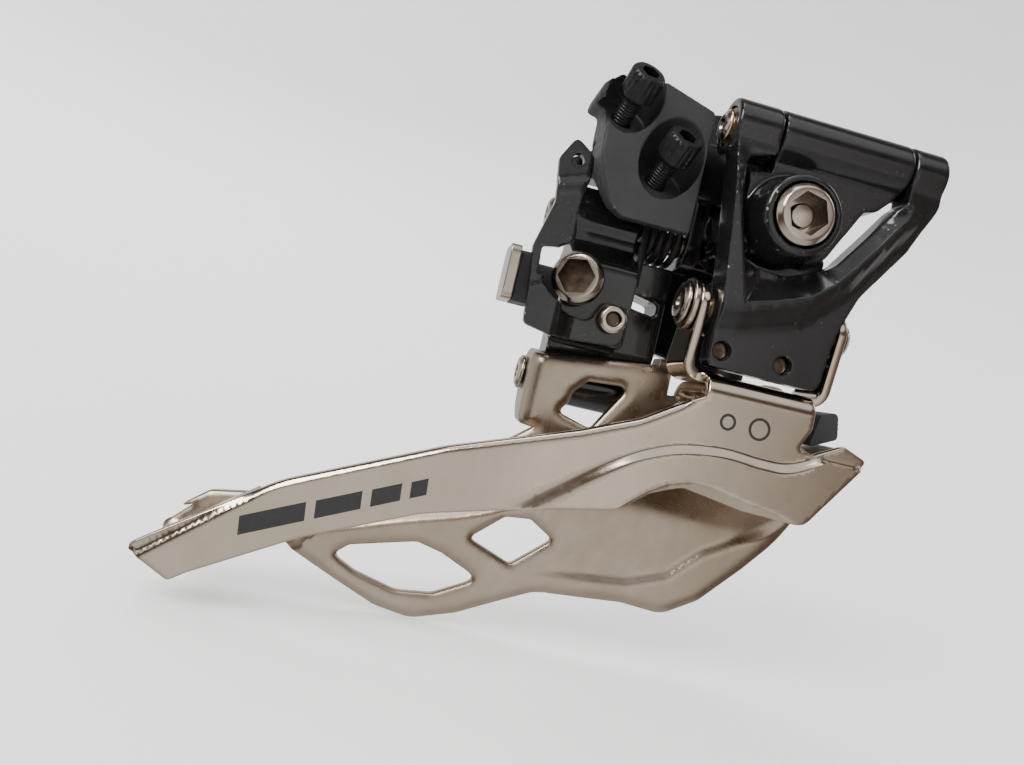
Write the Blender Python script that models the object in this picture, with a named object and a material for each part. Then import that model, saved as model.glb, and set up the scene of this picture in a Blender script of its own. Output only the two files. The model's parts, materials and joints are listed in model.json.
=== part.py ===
"""Bicycle front derailleur for two chainrings, direct mount, as an assembly of separate pieces.

Sizes are in millimetres and are scaled to metres once, where a piece becomes an object. +X runs forward along
the four pivot axes, +Y runs inboard and out of the mounting pad, +Z runs up the seat tube. All pieces are drawn
from the axis of the mount bolt, and the datum empty then puts the middle of the mounting pad at the origin.
"""

import math

import bmesh
import bpy
import numpy as np
from mathutils import Vector
from mathutils.geometry import delaunay_2d_cdt

MM = 0.001
GAP = 0.3  # room between pieces that pass or bolt against each other
FIT = 0.1  # radial play of a pin, a bush, a rivet or a screw in its hole
PAD_Z = 7.5  # height of the mounting pad's middle above the mount bolt's axis

# The parallelogram: two upper pivots on the body, two lower pivots on the cage, as (y, z).
UPPER_OUTER = (-22.0, 12.2)
UPPER_INNER = (-5.2, -3.4)
LINK = (2.0, -26.9)
LOWER_OUTER = (UPPER_OUTER[0] + LINK[0], UPPER_OUTER[1] + LINK[1])
LOWER_INNER = (UPPER_INNER[0] + LINK[0], UPPER_INNER[1] + LINK[1])

PIN_R = 1.9
BUSH_R = (PIN_R + FIT, 2.85)
BUSH_HOLE_R = BUSH_R[1] + FIT
BARREL_R = 4.3
INNER_BARREL_R = 4.1

# Stations along X.
BODY_BARREL = (-3.9, 17.0)
OUTER_LINK_ENDS = (-11.2, 22.8)
OUTER_LINK_FOOT = (-7.6, 11.9)
INNER_LINK_SPAN = (-28.8, -9.8)
SPRING_X = (-17.4, -9.7)  # the inner link's upper barrel stops short here, to make room for the spring
BRIDGE_Y = (-9.9, -1.5)  # the arm of the body that reaches back over the inner link
BRIDGE_Z = 3.7

# The cage.
SHEET = 1.5
OUTER_PLATE_Y = -25.0
INNER_PLATE_Y = -13.0
PANEL_Y = -10.0
FOLD_Z = -27.8
FOLD_R = 2.6
EAR_BEND_R = 2.2
FLANGE_X = (-6.8, 11.1)
FLANGE_Z = FOLD_Z + FOLD_R
FLANGE_DEPTH = 9.5
CAGE_EAR_R = 3.7
PANEL_RISE = (-50.0, -39.0)  # heights between which the inner plate steps back to the panel
PANEL_BEND_R = 1.8
REAR_EAR_X = -27.8
INNER_FLANGE_Z = -28.8
RIVET_R = 1.2
FLANGE_RIVET_X = (-2.8, 7.4)
FLANGE_RIVET_Y = -16.5
BRACKET_RIVET_X = -4.0
BRACKET_RIVET_Z = (-31.2, -36.0)

# The limit screws, M3, sharing one direction from tip to head.
SCREW_WAY = Vector((0.167, -0.74, 0.65)).normalized()
LOW_SCREW_HEAD = Vector((-25.1, -21.0, 15.0))
HIGH_SCREW_HEAD = Vector((-17.5, -21.0, 7.4))
SCREW_R = 1.5
SCREW_HEAD_R = 2.75
SCREW_HEAD_LENGTH = 4.4

# The mount bolt, M6 with a 5 mm hexagon socket.
BOLT_FACE_Y = -31.0
BOLT_R = 3.0
BOLT_HEAD_R = 4.5
BOSS_Y = -26.0
COLLAR_Y = -30.0
BOSS_R = 6.4

# Bodies that move, with a point on the joint axis of each.
AXES = {
    "mount_frame": (0.0, 0.0, 0.0),
    "outer_link": (0.0, *UPPER_OUTER),
    "inner_link": (0.0, *UPPER_INNER),
    "cage": (0.0, *LOWER_OUTER),
    "low_limit_screw": tuple(LOW_SCREW_HEAD),
    "high_limit_screw": tuple(HIGH_SCREW_HEAD),
}

LOOKS = {
    "gloss_black": ((0.012, 0.012, 0.013), 0.18, 0.0),
    "matte_black": ((0.035, 0.035, 0.037), 0.55, 0.0),
    "screw_black": ((0.02, 0.02, 0.021), 0.38, 0.6),
    "nickel_sheet": ((0.56, 0.50, 0.44), 0.22, 1.0),
    "nickel_bolt": ((0.66, 0.62, 0.57), 0.24, 1.0),
    "bush_bronze": ((0.45, 0.33, 0.19), 0.4, 1.0),
    "spring_black": ((0.05, 0.05, 0.052), 0.4, 0.8),
}


# ---------------------------------------------------------------- outlines


def arc(centre, radius, start, end, steps):
    """Points on an arc, from one angle to another in degrees."""
    angles = np.radians(np.linspace(start, end, steps + 1))
    return [(centre[0] + radius * math.cos(a), centre[1] + radius * math.sin(a)) for a in angles]


def rounded(corners, steps=3):
    """An outline from (u, v, radius) corners, each filleted by its radius."""
    outline = []
    for i, (u, v, radius) in enumerate(corners):
        here = Vector((u, v))
        back = Vector(corners[i - 1][:2]) - here
        ahead = Vector(corners[(i + 1) % len(corners)][:2]) - here
        half = back.angle(ahead) / 2
        if radius == 0 or half > math.radians(88):
            outline.append((u, v))
            continue
        reach = min(radius / math.tan(half), 0.49 * back.length, 0.49 * ahead.length)
        first, last = here + back.normalized() * reach, here + ahead.normalized() * reach
        for step in range(steps + 1):
            t = step / steps
            # A quadratic curve from tangent point to tangent point, within a hair of the true fillet.
            point = first * (1 - t) ** 2 + here * 2 * t * (1 - t) + last * t**2
            outline.append((point.x, point.y))
    return outline


def resampled(outline, spacing):
    """The same closed outline with no edge longer than spacing."""
    points = []
    for i, start in enumerate(outline):
        end = outline[(i + 1) % len(outline)]
        pieces = max(1, math.ceil(math.dist(start, end) / spacing))
        for k in range(pieces):
            t = k / pieces
            points.append((start[0] + (end[0] - start[0]) * t, start[1] + (end[1] - start[1]) * t))
    return points


def inside(points, outline):
    """True for each point within the closed outline."""
    points, outline = np.asarray(points), np.asarray(outline)
    found = np.zeros(len(points), bool)
    for (u0, v0), (u1, v1) in zip(outline, np.roll(outline, -1, axis=0)):
        crosses = (v0 > points[:, 1]) != (v1 > points[:, 1])
        with np.errstate(divide="ignore", invalid="ignore"):
            u = (u1 - u0) * (points[:, 1] - v0) / (v1 - v0) + u0
        found ^= crosses & (points[:, 0] < u)
    return found


def clearance(points, outline):
    """Distance from each point to the nearest edge of the outline."""
    points, outline = np.asarray(points), np.asarray(outline)
    nearest = np.full(len(points), np.inf)
    for start, end in zip(outline, np.roll(outline, -1, axis=0)):
        edge = end - start
        t = np.clip(((points - start) @ edge) / max(edge @ edge, 1e-12), 0, 1)
        nearest = np.minimum(nearest, np.linalg.norm(points - start - t[:, None] * edge, axis=1))
    return nearest


def ramp(value, start, end):
    """0 before start and 1 after end, easing in and out between them."""
    t = min(1.0, max(0.0, (value - start) / (end - start)))
    return t * t * (3 - 2 * t)


def above_line(u, v, line):
    """How far (u, v) is above a polyline that runs towards +u."""
    us, vs = zip(*line)
    return v - float(np.interp(u, us, vs))


# ---------------------------------------------------------------- solids


def turned(profile, at, along=(1, 0, 0), sides=20):
    """A body of revolution from (height, radius) points. It closes on itself unless both ends lie on the axis."""
    bm = bmesh.new()
    turn = Vector(along).to_track_quat("Z", "Y")
    rings = []
    for height, radius in profile:
        count = 1 if radius == 0 else sides
        angles = [2 * math.pi * (k + 0.5) / sides for k in range(count)]
        rings.append(
            [
                bm.verts.new(Vector(at) + turn @ Vector((radius * math.cos(a), radius * math.sin(a), height)))
                for a in angles
            ]
        )
    closed = profile[0][1] > 0
    for lower, upper in zip(rings, rings[1:] + rings[:1] if closed else rings[1:]):
        for k in range(sides):
            corners = [lower[k % len(lower)], lower[(k + 1) % len(lower)]]
            corners += [upper[(k + 1) % len(upper)], upper[k % len(upper)]]
            bm.faces.new(list(dict.fromkeys(corners)))
    bmesh.ops.recalc_face_normals(bm, faces=bm.faces)
    return bm


def rod(at, along, low, high, radius, sides=20):
    """A plain round bar between two heights along its axis."""
    return turned([(low, 0), (low, radius), (high, radius), (high, 0)], at, along, sides)


def ring(at, along, low, high, bore, radius, sides=20):
    return turned([(low, bore), (low, radius), (high, radius), (high, bore)], at, along, sides)


def prism(axis, outline, low, high):
    """An outline pushed along an axis. The outline's own axes are the other two, in X, Y, Z order."""
    bm = bmesh.new()
    order = {"x": (2, 0, 1), "y": (0, 2, 1), "z": (0, 1, 2)}[axis]
    ends = []
    for level in (low, high):
        ends.append([bm.verts.new([(u, v, level)[k] for k in order]) for u, v in outline])
    bm.faces.new(ends[0])
    bm.faces.new(ends[1])
    for k in range(len(outline)):
        n = (k + 1) % len(outline)
        bm.faces.new((ends[0][k], ends[0][n], ends[1][n], ends[1][k]))
    bmesh.ops.recalc_face_normals(bm, faces=bm.faces)
    return bm


def hexagon(at, along, low, high, across):
    radius = across / math.sqrt(3)
    return turned([(low, 0), (low, radius), (high, radius), (high, 0)], at, along, 6)


def relief(outline, holes, near, far, spacing, bend=None):
    """A plate over an (x, z) outline whose two faces follow near(x, z) and far(x, z), then bent by bend(x, y, z)."""
    loops = [resampled(loop, spacing) for loop in [outline, *holes]]
    points, edges = [], []
    for loop in loops:
        first = len(points)
        points += loop
        edges += [(first + k, first + (k + 1) % len(loop)) for k in range(len(loop))]
    low, high = np.min(points, axis=0), np.max(points, axis=0)
    us, vs = np.arange(low[0], high[0], spacing), np.arange(low[1], high[1], spacing)
    grid = np.array([(u + 0.5 * spacing * (k % 2), v) for k, v in enumerate(vs) for u in us])

    def within(candidates, margin):
        kept = inside(candidates, loops[0])
        for loop in loops[1:]:
            kept &= ~inside(candidates, loop)
        if margin:
            for loop in loops:
                kept &= clearance(candidates, loop) > margin
        return kept

    points += [tuple(p) for p in grid[within(grid, 0.55 * spacing)]]
    flat, _, triangles, *_ = delaunay_2d_cdt([Vector(p) for p in points], edges, [], 0, 1e-7, False)
    flat = [tuple(p) for p in flat]
    centres = np.array([np.mean([flat[k] for k in t], axis=0) for t in triangles])
    triangles = [t for t, keep in zip(triangles, within(centres, 0)) if keep]

    bm = bmesh.new()
    bend = bend or (lambda x, y, z: (x, y, z))
    front = [bm.verts.new(bend(x, near(x, z), z)) for x, z in flat]
    back = [bm.verts.new(bend(x, far(x, z), z)) for x, z in flat]
    uses = {}
    for t in triangles:
        bm.faces.new([front[k] for k in t])
        bm.faces.new([back[k] for k in reversed(t)])
        for a, b in zip(t, (*t[1:], t[0])):
            uses[(a, b)] = uses.get((b, a)) is None and uses.get((a, b)) is None
            if (b, a) in uses:
                uses.pop((a, b))
                uses.pop((b, a))
    for a, b in uses:
        bm.faces.new((front[b], front[a], back[a], back[b]))
    bmesh.ops.delete(bm, geom=[v for v in bm.verts if not v.link_faces], context="VERTS")
    bmesh.ops.recalc_face_normals(bm, faces=bm.faces)
    return bm


# ---------------------------------------------------------------- scene


def make_look(name):
    colour, roughness, metallic = LOOKS[name]
    material = bpy.data.materials.new(name)
    material.use_nodes = True
    shader = material.node_tree.nodes["Principled BSDF"]
    shader.inputs["Base Color"].default_value = (*colour, 1)
    shader.inputs["Roughness"].default_value = roughness
    shader.inputs["Metallic"].default_value = metallic
    material.diffuse_color = (*colour, 1)
    return material


def make_empty(name, location, parent=None):
    empty = bpy.data.objects.new(name, None)
    empty.empty_display_size = 5 * MM
    empty.location = Vector(location) * MM
    empty.parent = parent
    bpy.context.scene.collection.objects.link(empty)
    return empty


class Assembly:
    """Makes the objects, each under the empty on the axis of the body that it belongs to."""

    def __init__(self):
        self.datum = make_empty("datum", (0, 0, -PAD_Z))
        self.axes = {body: make_empty(body + "_axis", at, self.datum) for body, at in AXES.items()}
        self.looks = {name: make_look(name) for name in LOOKS}

    def object_from(self, name, bm, body):
        origin = Vector(AXES[body])
        for vert in bm.verts:
            vert.co = (vert.co - origin) * MM
        mesh = bpy.data.meshes.new(name)
        bm.to_mesh(mesh)
        bm.free()
        made = bpy.data.objects.new(name, mesh)
        made.parent = self.axes[body]
        bpy.context.scene.collection.objects.link(made)
        return made

    def piece(self, name, body, look, base, adds=(), cuts=()):
        """A sub-part: a base solid, with others joined to it and then others cut out of it."""
        made = self.object_from(name, base, body)
        made.data.materials.append(self.looks[look])
        made.data.shade_smooth()
        made.data.set_sharp_from_angle(angle=math.radians(35))
        for operation, helpers in (("UNION", adds), ("DIFFERENCE", cuts)):
            for count, bm in enumerate(helpers):
                helper = self.object_from(f"{name}_{operation.lower()}_{count}", bm, body)
                helper.hide_render = True
                helper.display_type = "WIRE"
                boolean = made.modifiers.new(helper.name, "BOOLEAN")
                boolean.operation = operation
                boolean.solver = "EXACT"
                boolean.object = helper
        return made


def on(axis, x=0.0):
    """The point at station x on a pivot axis."""
    return (x, *axis)


# ---------------------------------------------------------------- fixed body


def pivot_cheek(pivot, radius, top_z, y_span, low, high):
    """A side plate across X: round about a pivot, and square where it joins the metal above it."""
    outline = arc(pivot, radius, 180, 360, 10) + [(y_span[1], top_z), (y_span[0], top_z)]
    return prism("x", outline, low, high)


def build_body(parts):
    y, z = UPPER_OUTER
    web = [(y - 1.0, z + 3.9), (-14.0, 15.0), (-3.0, 16.5), (-3.0, -4.0), (-20.0, -4.5), (y - 2.0, z - 3.6)]
    pad = rounded([(-9, -6, 2.5), (9, -6, 2.5), (9, 21, 2.5), (-9, 21, 2.5)])
    bridge = [(-31.5, BRIDGE_Z), (4.0, BRIDGE_Z), (4.0, 13.5), (-25.6, 13.5)]
    bridge += [(-25.8, 9.5), (-27.2, 6.6), (-29.8, 6.2), (-31.5, 5.2)]
    face = [(-3.7, 13.0), (16.4, 13.0), (16.4, 8.0), (15.6, 6.9), (14.0, 5.2), (12.0, 4.6), (7.5, -3.9)]
    face += [(5.4, -5.2), (-4.4, -5.8), (-6.8, 0.5), (-7.0, 6.2), (-3.7, 6.4)]
    backing = [(-5.0, 0.0), (-5.2, -9.2), (6.5, -9.2), (9.3, -5.6), (9.3, -3.6), (7.0, 0.0)]
    tongue = [(-9.3, -3.0, 0), (9.0, -3.0, 0), (8.6, -9.0, 4), (8.2, -24.5, 1.2), (-5.8, -24.5, 1), (-6.2, -22.4, 0.8)]
    tongue = rounded([*tongue, (-9.3, -22.0, 1)])
    boss = [(COLLAR_Y, 0), (COLLAR_Y, 5.4), (COLLAR_Y + 0.6, 5.9), (-26.0, 6.1), (-24.0, 6.6), (-22.0, BOSS_R)]
    boss += [(-1.0, BOSS_R), (-1.0, 0)]
    cheek_y = (UPPER_INNER[0] - 4.3, UPPER_INNER[0] + 3.6)
    parts.piece(
        "derailleur_body",
        "mount_frame",
        "gloss_black",
        rod(on(UPPER_OUTER), (1, 0, 0), *BODY_BARREL, BARREL_R, 24),
        adds=[
            prism("x", web, BODY_BARREL[0] + 0.4, 8.0),
            turned(boss, (0, 0, 0), (0, 1, 0), 28),
            prism("y", face, -24.0, -19.5),
            prism("y", backing, -20.8, -18.0),
            prism("y", pad, -4.0, 0.0),
            prism("y", tongue, -3.4, -0.05),
            prism("y", bridge, BRIDGE_Y[0], BRIDGE_Y[1]),
            pivot_cheek(UPPER_INNER, 4.3, 4.6, cheek_y, -31.6, -29.2),
            pivot_cheek(UPPER_INNER, 4.3, 6.0, cheek_y, -9.4, -6.6),
        ],
        cuts=[
            rod(on(UPPER_OUTER), (1, 0, 0), -6, 20, PIN_R + FIT),
            rod(on(UPPER_INNER), (1, 0, 0), -35, -5, PIN_R + FIT),
            rod((0, 0, 0), (0, 1, 0), -40, 10, BOLT_R + GAP),
            rod((0, 0, 0), (0, 1, 0), -40, BOSS_Y, BOLT_HEAD_R + GAP, 28),
            rod(LOW_SCREW_HEAD, SCREW_WAY, -18, 6, SCREW_R + 0.6, 12),
        ],
    )


def build_limit_block(parts):
    outline = rounded(
        [
            (-28.7, 4.0, 2), (-28.9, 12.0, 0.5), (-31.0, 12.5, 0.8), (-30.6, 14.3, 1), (-27.7, 17.3, 1.5),
            (-21.0, 17.0, 1), (-12.6, 14.6, 1), (-12.4, -4.6, 2), (-18.5, -7.6, 3), (-25.6, -3.0, 3),
        ]
    )  # fmt: skip
    parts.piece(
        "limit_screw_block",
        "mount_frame",
        "matte_black",
        prism("y", outline, -19.6, -10.2),
        cuts=[
            prism("x", [(-30, -4.4), (-30, -12), (-8, -12), (-8, 3.0), (-12.2, 2.2), (-17.6, -4.4)], -40, 0),
            rod(LOW_SCREW_HEAD, SCREW_WAY, -20, 10, SCREW_R + FIT),
            rod(HIGH_SCREW_HEAD, SCREW_WAY, -20, 10, SCREW_R + FIT),
            rod(LOW_SCREW_HEAD, SCREW_WAY, -6.5, 14, 4.3),
            rod(HIGH_SCREW_HEAD, SCREW_WAY, -7.0, 14, 4.8),
        ],
    )


def build_limit_screws(parts):
    half = SCREW_HEAD_LENGTH / 2
    for name, head, length in (("low", LOW_SCREW_HEAD, 14.6), ("high", HIGH_SCREW_HEAD, 12.4)):
        profile = [(-half - length, 0), (-half - length, 1.0), (-half - length + 0.6, SCREW_R)]
        profile += [(-half, SCREW_R), (-half, SCREW_HEAD_R - 0.5), (-half + 0.7, SCREW_HEAD_R)]
        profile += [(half - 0.2, SCREW_HEAD_R), (half, SCREW_HEAD_R - 0.2), (half, 0)]
        parts.piece(
            f"{name}_limit_screw",
            f"{name}_limit_screw",
            "screw_black",
            turned(profile, head, SCREW_WAY, 16),
            cuts=[hexagon(head, SCREW_WAY, half - 2.2, half + 2, 2.6)],
        )


def build_mount_bolt(parts):
    seat = BOLT_FACE_Y + 4.2
    profile = [(BOLT_FACE_Y, 0), (BOLT_FACE_Y, BOLT_HEAD_R - 0.7), (BOLT_FACE_Y + 0.7, BOLT_HEAD_R)]
    profile += [(seat - GAP / 2, BOLT_HEAD_R), (seat - GAP / 2, BOLT_R), (8.2, BOLT_R), (9.0, 2.3), (9.0, 0)]
    parts.piece(
        "mount_bolt",
        "mount_frame",
        "nickel_bolt",
        turned(profile, (0, 0, 0), (0, 1, 0), 24),
        cuts=[hexagon((0, 0, 0), (0, 1, 0), BOLT_FACE_Y - 2, BOLT_FACE_Y + 3.0, 5.3)],
    )
    washer = ring((0, 0, 0), (0, 1, 0), seat + 0.05, BOSS_Y - 0.2, BOLT_R + GAP, 4.6, 24)
    parts.piece("mount_washer", "mount_frame", "nickel_bolt", washer)


# ---------------------------------------------------------------- pivots


def build_pins(parts):
    """Four riveted pivot pins: the upper two are held by the body, and the lower two by the cage."""
    pins = (
        ("outer_upper_pin", "mount_frame", UPPER_OUTER, OUTER_LINK_ENDS, 2.4, 2.4),
        ("inner_upper_pin", "mount_frame", UPPER_INNER, (-31.8, -6.4), 2.7, PIN_R),
        ("outer_lower_pin", "cage", LOWER_OUTER, (-10.9, 14.35), 3.2, 2.9),
        ("inner_lower_pin", "cage", LOWER_INNER, (-30.4, -7.6), 2.9, 2.6),
    )
    for name, body, axis, (rear, front), head, peened in pins:
        profile = [(rear - 1.1, 0), (rear - 1.1, head - 0.4), (rear - 0.7, head), (rear - GAP / 2, head)]
        profile += [(rear - GAP / 2, PIN_R), (front + GAP, PIN_R)]
        if peened > PIN_R:
            profile.append((front + GAP, peened))
        profile += [(front + 0.9, peened - 0.3), (front + 0.9, 0)]
        parts.piece(name, body, "nickel_bolt", turned(profile, on(axis), (1, 0, 0), 20))
    washer = ring(on(LOWER_OUTER), (1, 0, 0), -10.85, -10.0, PIN_R + FIT, 4.0, 24)
    parts.piece("outer_lower_washer", "cage", "nickel_bolt", washer)


def build_bushes(parts):
    """Plain bushes that the pins turn in, one in each end of a link."""
    bushes = (
        ("outer_upper_rear_bush", "outer_link", UPPER_OUTER, (-11.0, -4.4)),
        ("outer_upper_front_bush", "outer_link", UPPER_OUTER, (17.5, OUTER_LINK_ENDS[1] - 0.2)),
        ("outer_lower_bush", "outer_link", LOWER_OUTER, (-7.4, 11.7)),
        ("inner_upper_bush", "inner_link", UPPER_INNER, (-28.6, SPRING_X[0] - 0.3)),
        ("inner_lower_bush", "inner_link", LOWER_INNER, (-28.3, -9.6)),
    )
    for name, body, axis, (low, high) in bushes:
        parts.piece(name, body, "bush_bronze", ring(on(axis), (1, 0, 0), low, high, *BUSH_R, 18))


def build_spring(parts):
    """The return spring round the inner upper pin. One leg bears on the link's web and one under the body's arm."""
    turns, steps, mean_r, wire_r = 4, 14, 3.7, 0.6
    first_x, last_x = SPRING_X[0] + 1.0, SPRING_X[1] - 1.0
    y, z = UPPER_INNER
    web_y, arm_z = -8.9 - wire_r - 0.1, BRIDGE_Z - wire_r - 0.1
    points = [(first_x, web_y, z - 9.2), (first_x, web_y, z - 5.0)]
    for k in range(turns * steps + 1):
        a = math.pi - 2 * math.pi * k / steps
        x = first_x + (last_x - first_x) * k / (turns * steps)
        points.append((x, y + mean_r * math.cos(a), z + mean_r * math.sin(a)))
    points += [(last_x, y - mean_r, arm_z - 1.2), (last_x, y - mean_r + 0.6, arm_z), (last_x, y, arm_z)]
    curve = bpy.data.curves.new("return_spring", "CURVE")
    curve.dimensions = "3D"
    curve.bevel_depth = wire_r * MM
    curve.bevel_resolution = 1
    curve.use_fill_caps = True
    spline = curve.splines.new("POLY")
    spline.points.add(len(points) - 1)
    for slot, point in zip(spline.points, points):
        slot.co = (*(Vector(point) * MM), 1)
    spring = bpy.data.objects.new("return_spring", curve)
    spring.parent = parts.axes["mount_frame"]
    curve.materials.append(parts.looks["spring_black"])
    bpy.context.scene.collection.objects.link(spring)


# ---------------------------------------------------------------- links


def build_outer_link(parts):
    """A yoke with a wide triangular window: two arms on the upper pivot, one broad foot on the lower."""
    rear, front = OUTER_LINK_ENDS
    foot_rear, foot_front = OUTER_LINK_FOOT
    bottom = -23.6
    outline = rounded(
        [
            (rear, 14.0, 1), (-4.2, 14.0, 0), (-4.2, 8.6, 0.5), (-8.6, 7.4, 1.5), (-7.8, 0.5, 3),
            (-5.6, -7.5, 2.2), (2.0, -7.9, 4), (8.5, -5.2, 6), (13.2, 1.4, 5), (16.3, 6.0, 1), (17.4, 7.0, 0),
            (17.4, 14.0, 0),
            (front, 14.0, 1), (front - 0.4, 7.0, 5), (19.4, 0.0, 6), (13.6, -8.4, 8), (foot_front - 0.6, -15, 4),
            (10.4, bottom, 1.5), (foot_rear + 0.4, bottom, 1.5), (foot_rear, -14.5, 3), (-8.8, -4.0, 8),
        ]
    )  # fmt: skip

    def front_face(x, z):
        # The face stands proud along the crease under the window, and falls away to the window's edge.
        crease = above_line(x, z, [(-12, -14.4), (-4.4, -13.6), (5.5, -10.4), (11.4, -4.5), (16.5, 2.8), (24, 12)])
        proud = 1.6 * ramp(crease, -5.0, -0.3) - 1.8 * ramp(crease, 0.2, 5.0)
        upper = ramp(z, 2.0, 9.0)
        return (-25.2 - proud) * (1 - upper) - 25.8 * upper

    parts.piece(
        "outer_link",
        "outer_link",
        "gloss_black",
        relief(outline, [], front_face, lambda x, z: -21.4, 3.0),
        adds=[
            rod(on(UPPER_OUTER), (1, 0, 0), rear, -4.2, BARREL_R, 24),
            rod(on(UPPER_OUTER), (1, 0, 0), 17.3, front, BARREL_R, 24),
            rod(on(LOWER_OUTER), (1, 0, 0), foot_rear, foot_front, BARREL_R, 24),
        ],
        cuts=[
            rod(on(UPPER_OUTER), (1, 0, 0), -20, 40, BUSH_HOLE_R),
            rod(on(LOWER_OUTER), (1, 0, 0), -20, 40, BUSH_HOLE_R),
            rod((-5.5, 0, -21.0), (0, 1, 0), -30, -23.5, 1.3, 12),
            rod((4.2, 0, -21.0), (0, 1, 0), -30, -23.5, 1.3, 12),
        ],
    )


def build_inner_link(parts):
    rear, front = INNER_LINK_SPAN
    block = rounded([(-15.4, -23.4, 1.5), (-8.6, -24.0, 1), (-3.0, -22, 1), (-3.0, -9, 1), (-9.0, -7.6, 1),
                     (-15.4, -11.0, 2)])  # fmt: skip
    web = [(-7.0, -28.5), (-1.0, -28.5), (-1.6, -5.0), (-8.9, -5.0), (-8.7, -23.5)]
    lug = [(-8.6, -2.0), (-7.2, 1.9), (-4.6, 2.7), (-3.2, -1.0)]
    parts.piece(
        "inner_link",
        "inner_link",
        "gloss_black",
        rod(on(UPPER_INNER), (1, 0, 0), rear, SPRING_X[0] - 0.1, INNER_BARREL_R, 20),
        adds=[
            rod(on(LOWER_INNER), (1, 0, 0), rear + 0.3, front + 0.4, 3.9, 20),
            prism("x", web, rear + 0.6, front - 0.4),
            prism("x", block, rear + 0.2, -17.6),
            prism("x", lug, -28.2, -24.2),
        ],
        cuts=[
            prism("y", rounded([(-17.0, -15.8, 0.7), (-11.6, -16.6, 0.7), (-11.6, -14.4, 0.7), (-17.0, -13.4, 0.7)]),
                  -30, 10),
            prism("y", [(SPRING_X[0], -8.3), (-5, -8.3), (-5, 5), (SPRING_X[0], 5)], -20, 10),
            rod(on(UPPER_INNER), (1, 0, 0), -40, 0, BUSH_HOLE_R),
            rod(on(LOWER_INNER), (1, 0, 0), -40, 0, BUSH_HOLE_R),
            rod((-26.5, -15.4, -14.8), (-0.35, -0.94, 0), -7, 8, 2.8, 16),
            rod((-20.8, -15.4, -19.6), (0, 1, 0), -5, 4.0, 1.5, 12),
        ],
    )  # fmt: skip


def build_cable_clamp(parts):
    """The cable anchor on the inner link: bolt and clamp washer, the guide arm, and the stop beside it."""
    at, way = Vector((-26.5, -15.4, -14.8)), Vector((-0.35, -0.94, 0)).normalized()
    face = 4.9
    profile = [(-5.5, 0), (-5.5, 2.5), (1.75, 2.5), (1.75, 4.2), (face - 0.7, 4.2), (face, 3.6), (face, 0)]
    parts.piece(
        "cable_anchor_bolt",
        "inner_link",
        "nickel_bolt",
        turned(profile, at, way, 20),
        cuts=[hexagon(at, way, face - 2.8, face + 2, 5.1)],
    )
    rivet = [(-2.6, 0), (-2.6, 1.2), (0.2, 1.2), (0.2, 2.2), (1.1, 2.2), (1.5, 1.8), (1.5, 1.1), (0.9, 0.9), (0.9, 0)]
    parts.piece("guide_arm_rivet", "inner_link", "nickel_bolt", turned(rivet, (-20.8, -17.35, -19.6), (0, -1, 0), 18))

    outline = rounded(
        [
            (-34.6, -23.6, 1), (-30.2, -24.4, 1), (-18.2, -23.4, 2), (-18.2, -17.2, 1.5), (-22.4, -17.0, 1),
            (-24.0, -20.6, 2), (-30.0, -20.2, 1.5), (-29.9, -8.8, 1), (-30.6, -6.0, 1), (-29.9, -1.9, 0.5),
            (-29.4, 0.3, 1), (-29.8, 2.6, 1), (-33.0, 4.7, 1), (-34.9, 1.2, 1), (-34.0, -5.2, 2),
            (-35.8, -12.2, 2), (-35.0, -19.0, 3),
        ]
    )  # fmt: skip
    pocket = rounded([(-34.4, -16.4, 0.6), (-31.6, -15.4, 0.6), (-31.4, -11.4, 0.6), (-34.4, -12.0, 0.6)])

    def arm_y(x, z):
        return -16.6 - 4.4 * ramp(-x, 26.5, 30.5)

    parts.piece(
        "cable_guide_arm",
        "inner_link",
        "gloss_black",
        relief(outline, [pocket], lambda x, z: arm_y(x, z) - 0.8, lambda x, z: arm_y(x, z) + 0.8, 2.2),
        cuts=[rod(at, way, 0, 9, 4.6, 20), rod((-20.8, 0, -19.6), (0, 1, 0), -30, -10, 1.5, 12),
              rod((-32.1, 0, 1.5), (0, 1, 0), -30, -10, 0.9, 12)],
    )  # fmt: skip
    stop = rounded([(-22.6, -20.8, 1.6), (-14.6, -20.8, 1.6), (-14.6, -12.6, 1.6), (-22.6, -12.6, 1.6)])
    block = rounded([(-19.6, -20.6, 0.6), (-13.2, -20.6, 0.6), (-13.2, -12.9, 0.6), (-19.6, -12.9, 0.6)])
    tail = rounded([(-14.2, -20.0, 0.6), (-9.6, -20.0, 0.6), (-9.6, -13.4, 0.6), (-14.2, -13.4, 0.6)])
    parts.piece("cable_stop_plate", "inner_link", "nickel_bolt", prism("x", stop, -38.8, -37.2))
    parts.piece("cable_stop_block", "inner_link", "matte_black", prism("x", block, -36.9, -34.0),
                adds=[prism("x", tail, -36.6, -29.1)])  # fmt: skip


# ---------------------------------------------------------------- cage


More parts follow.
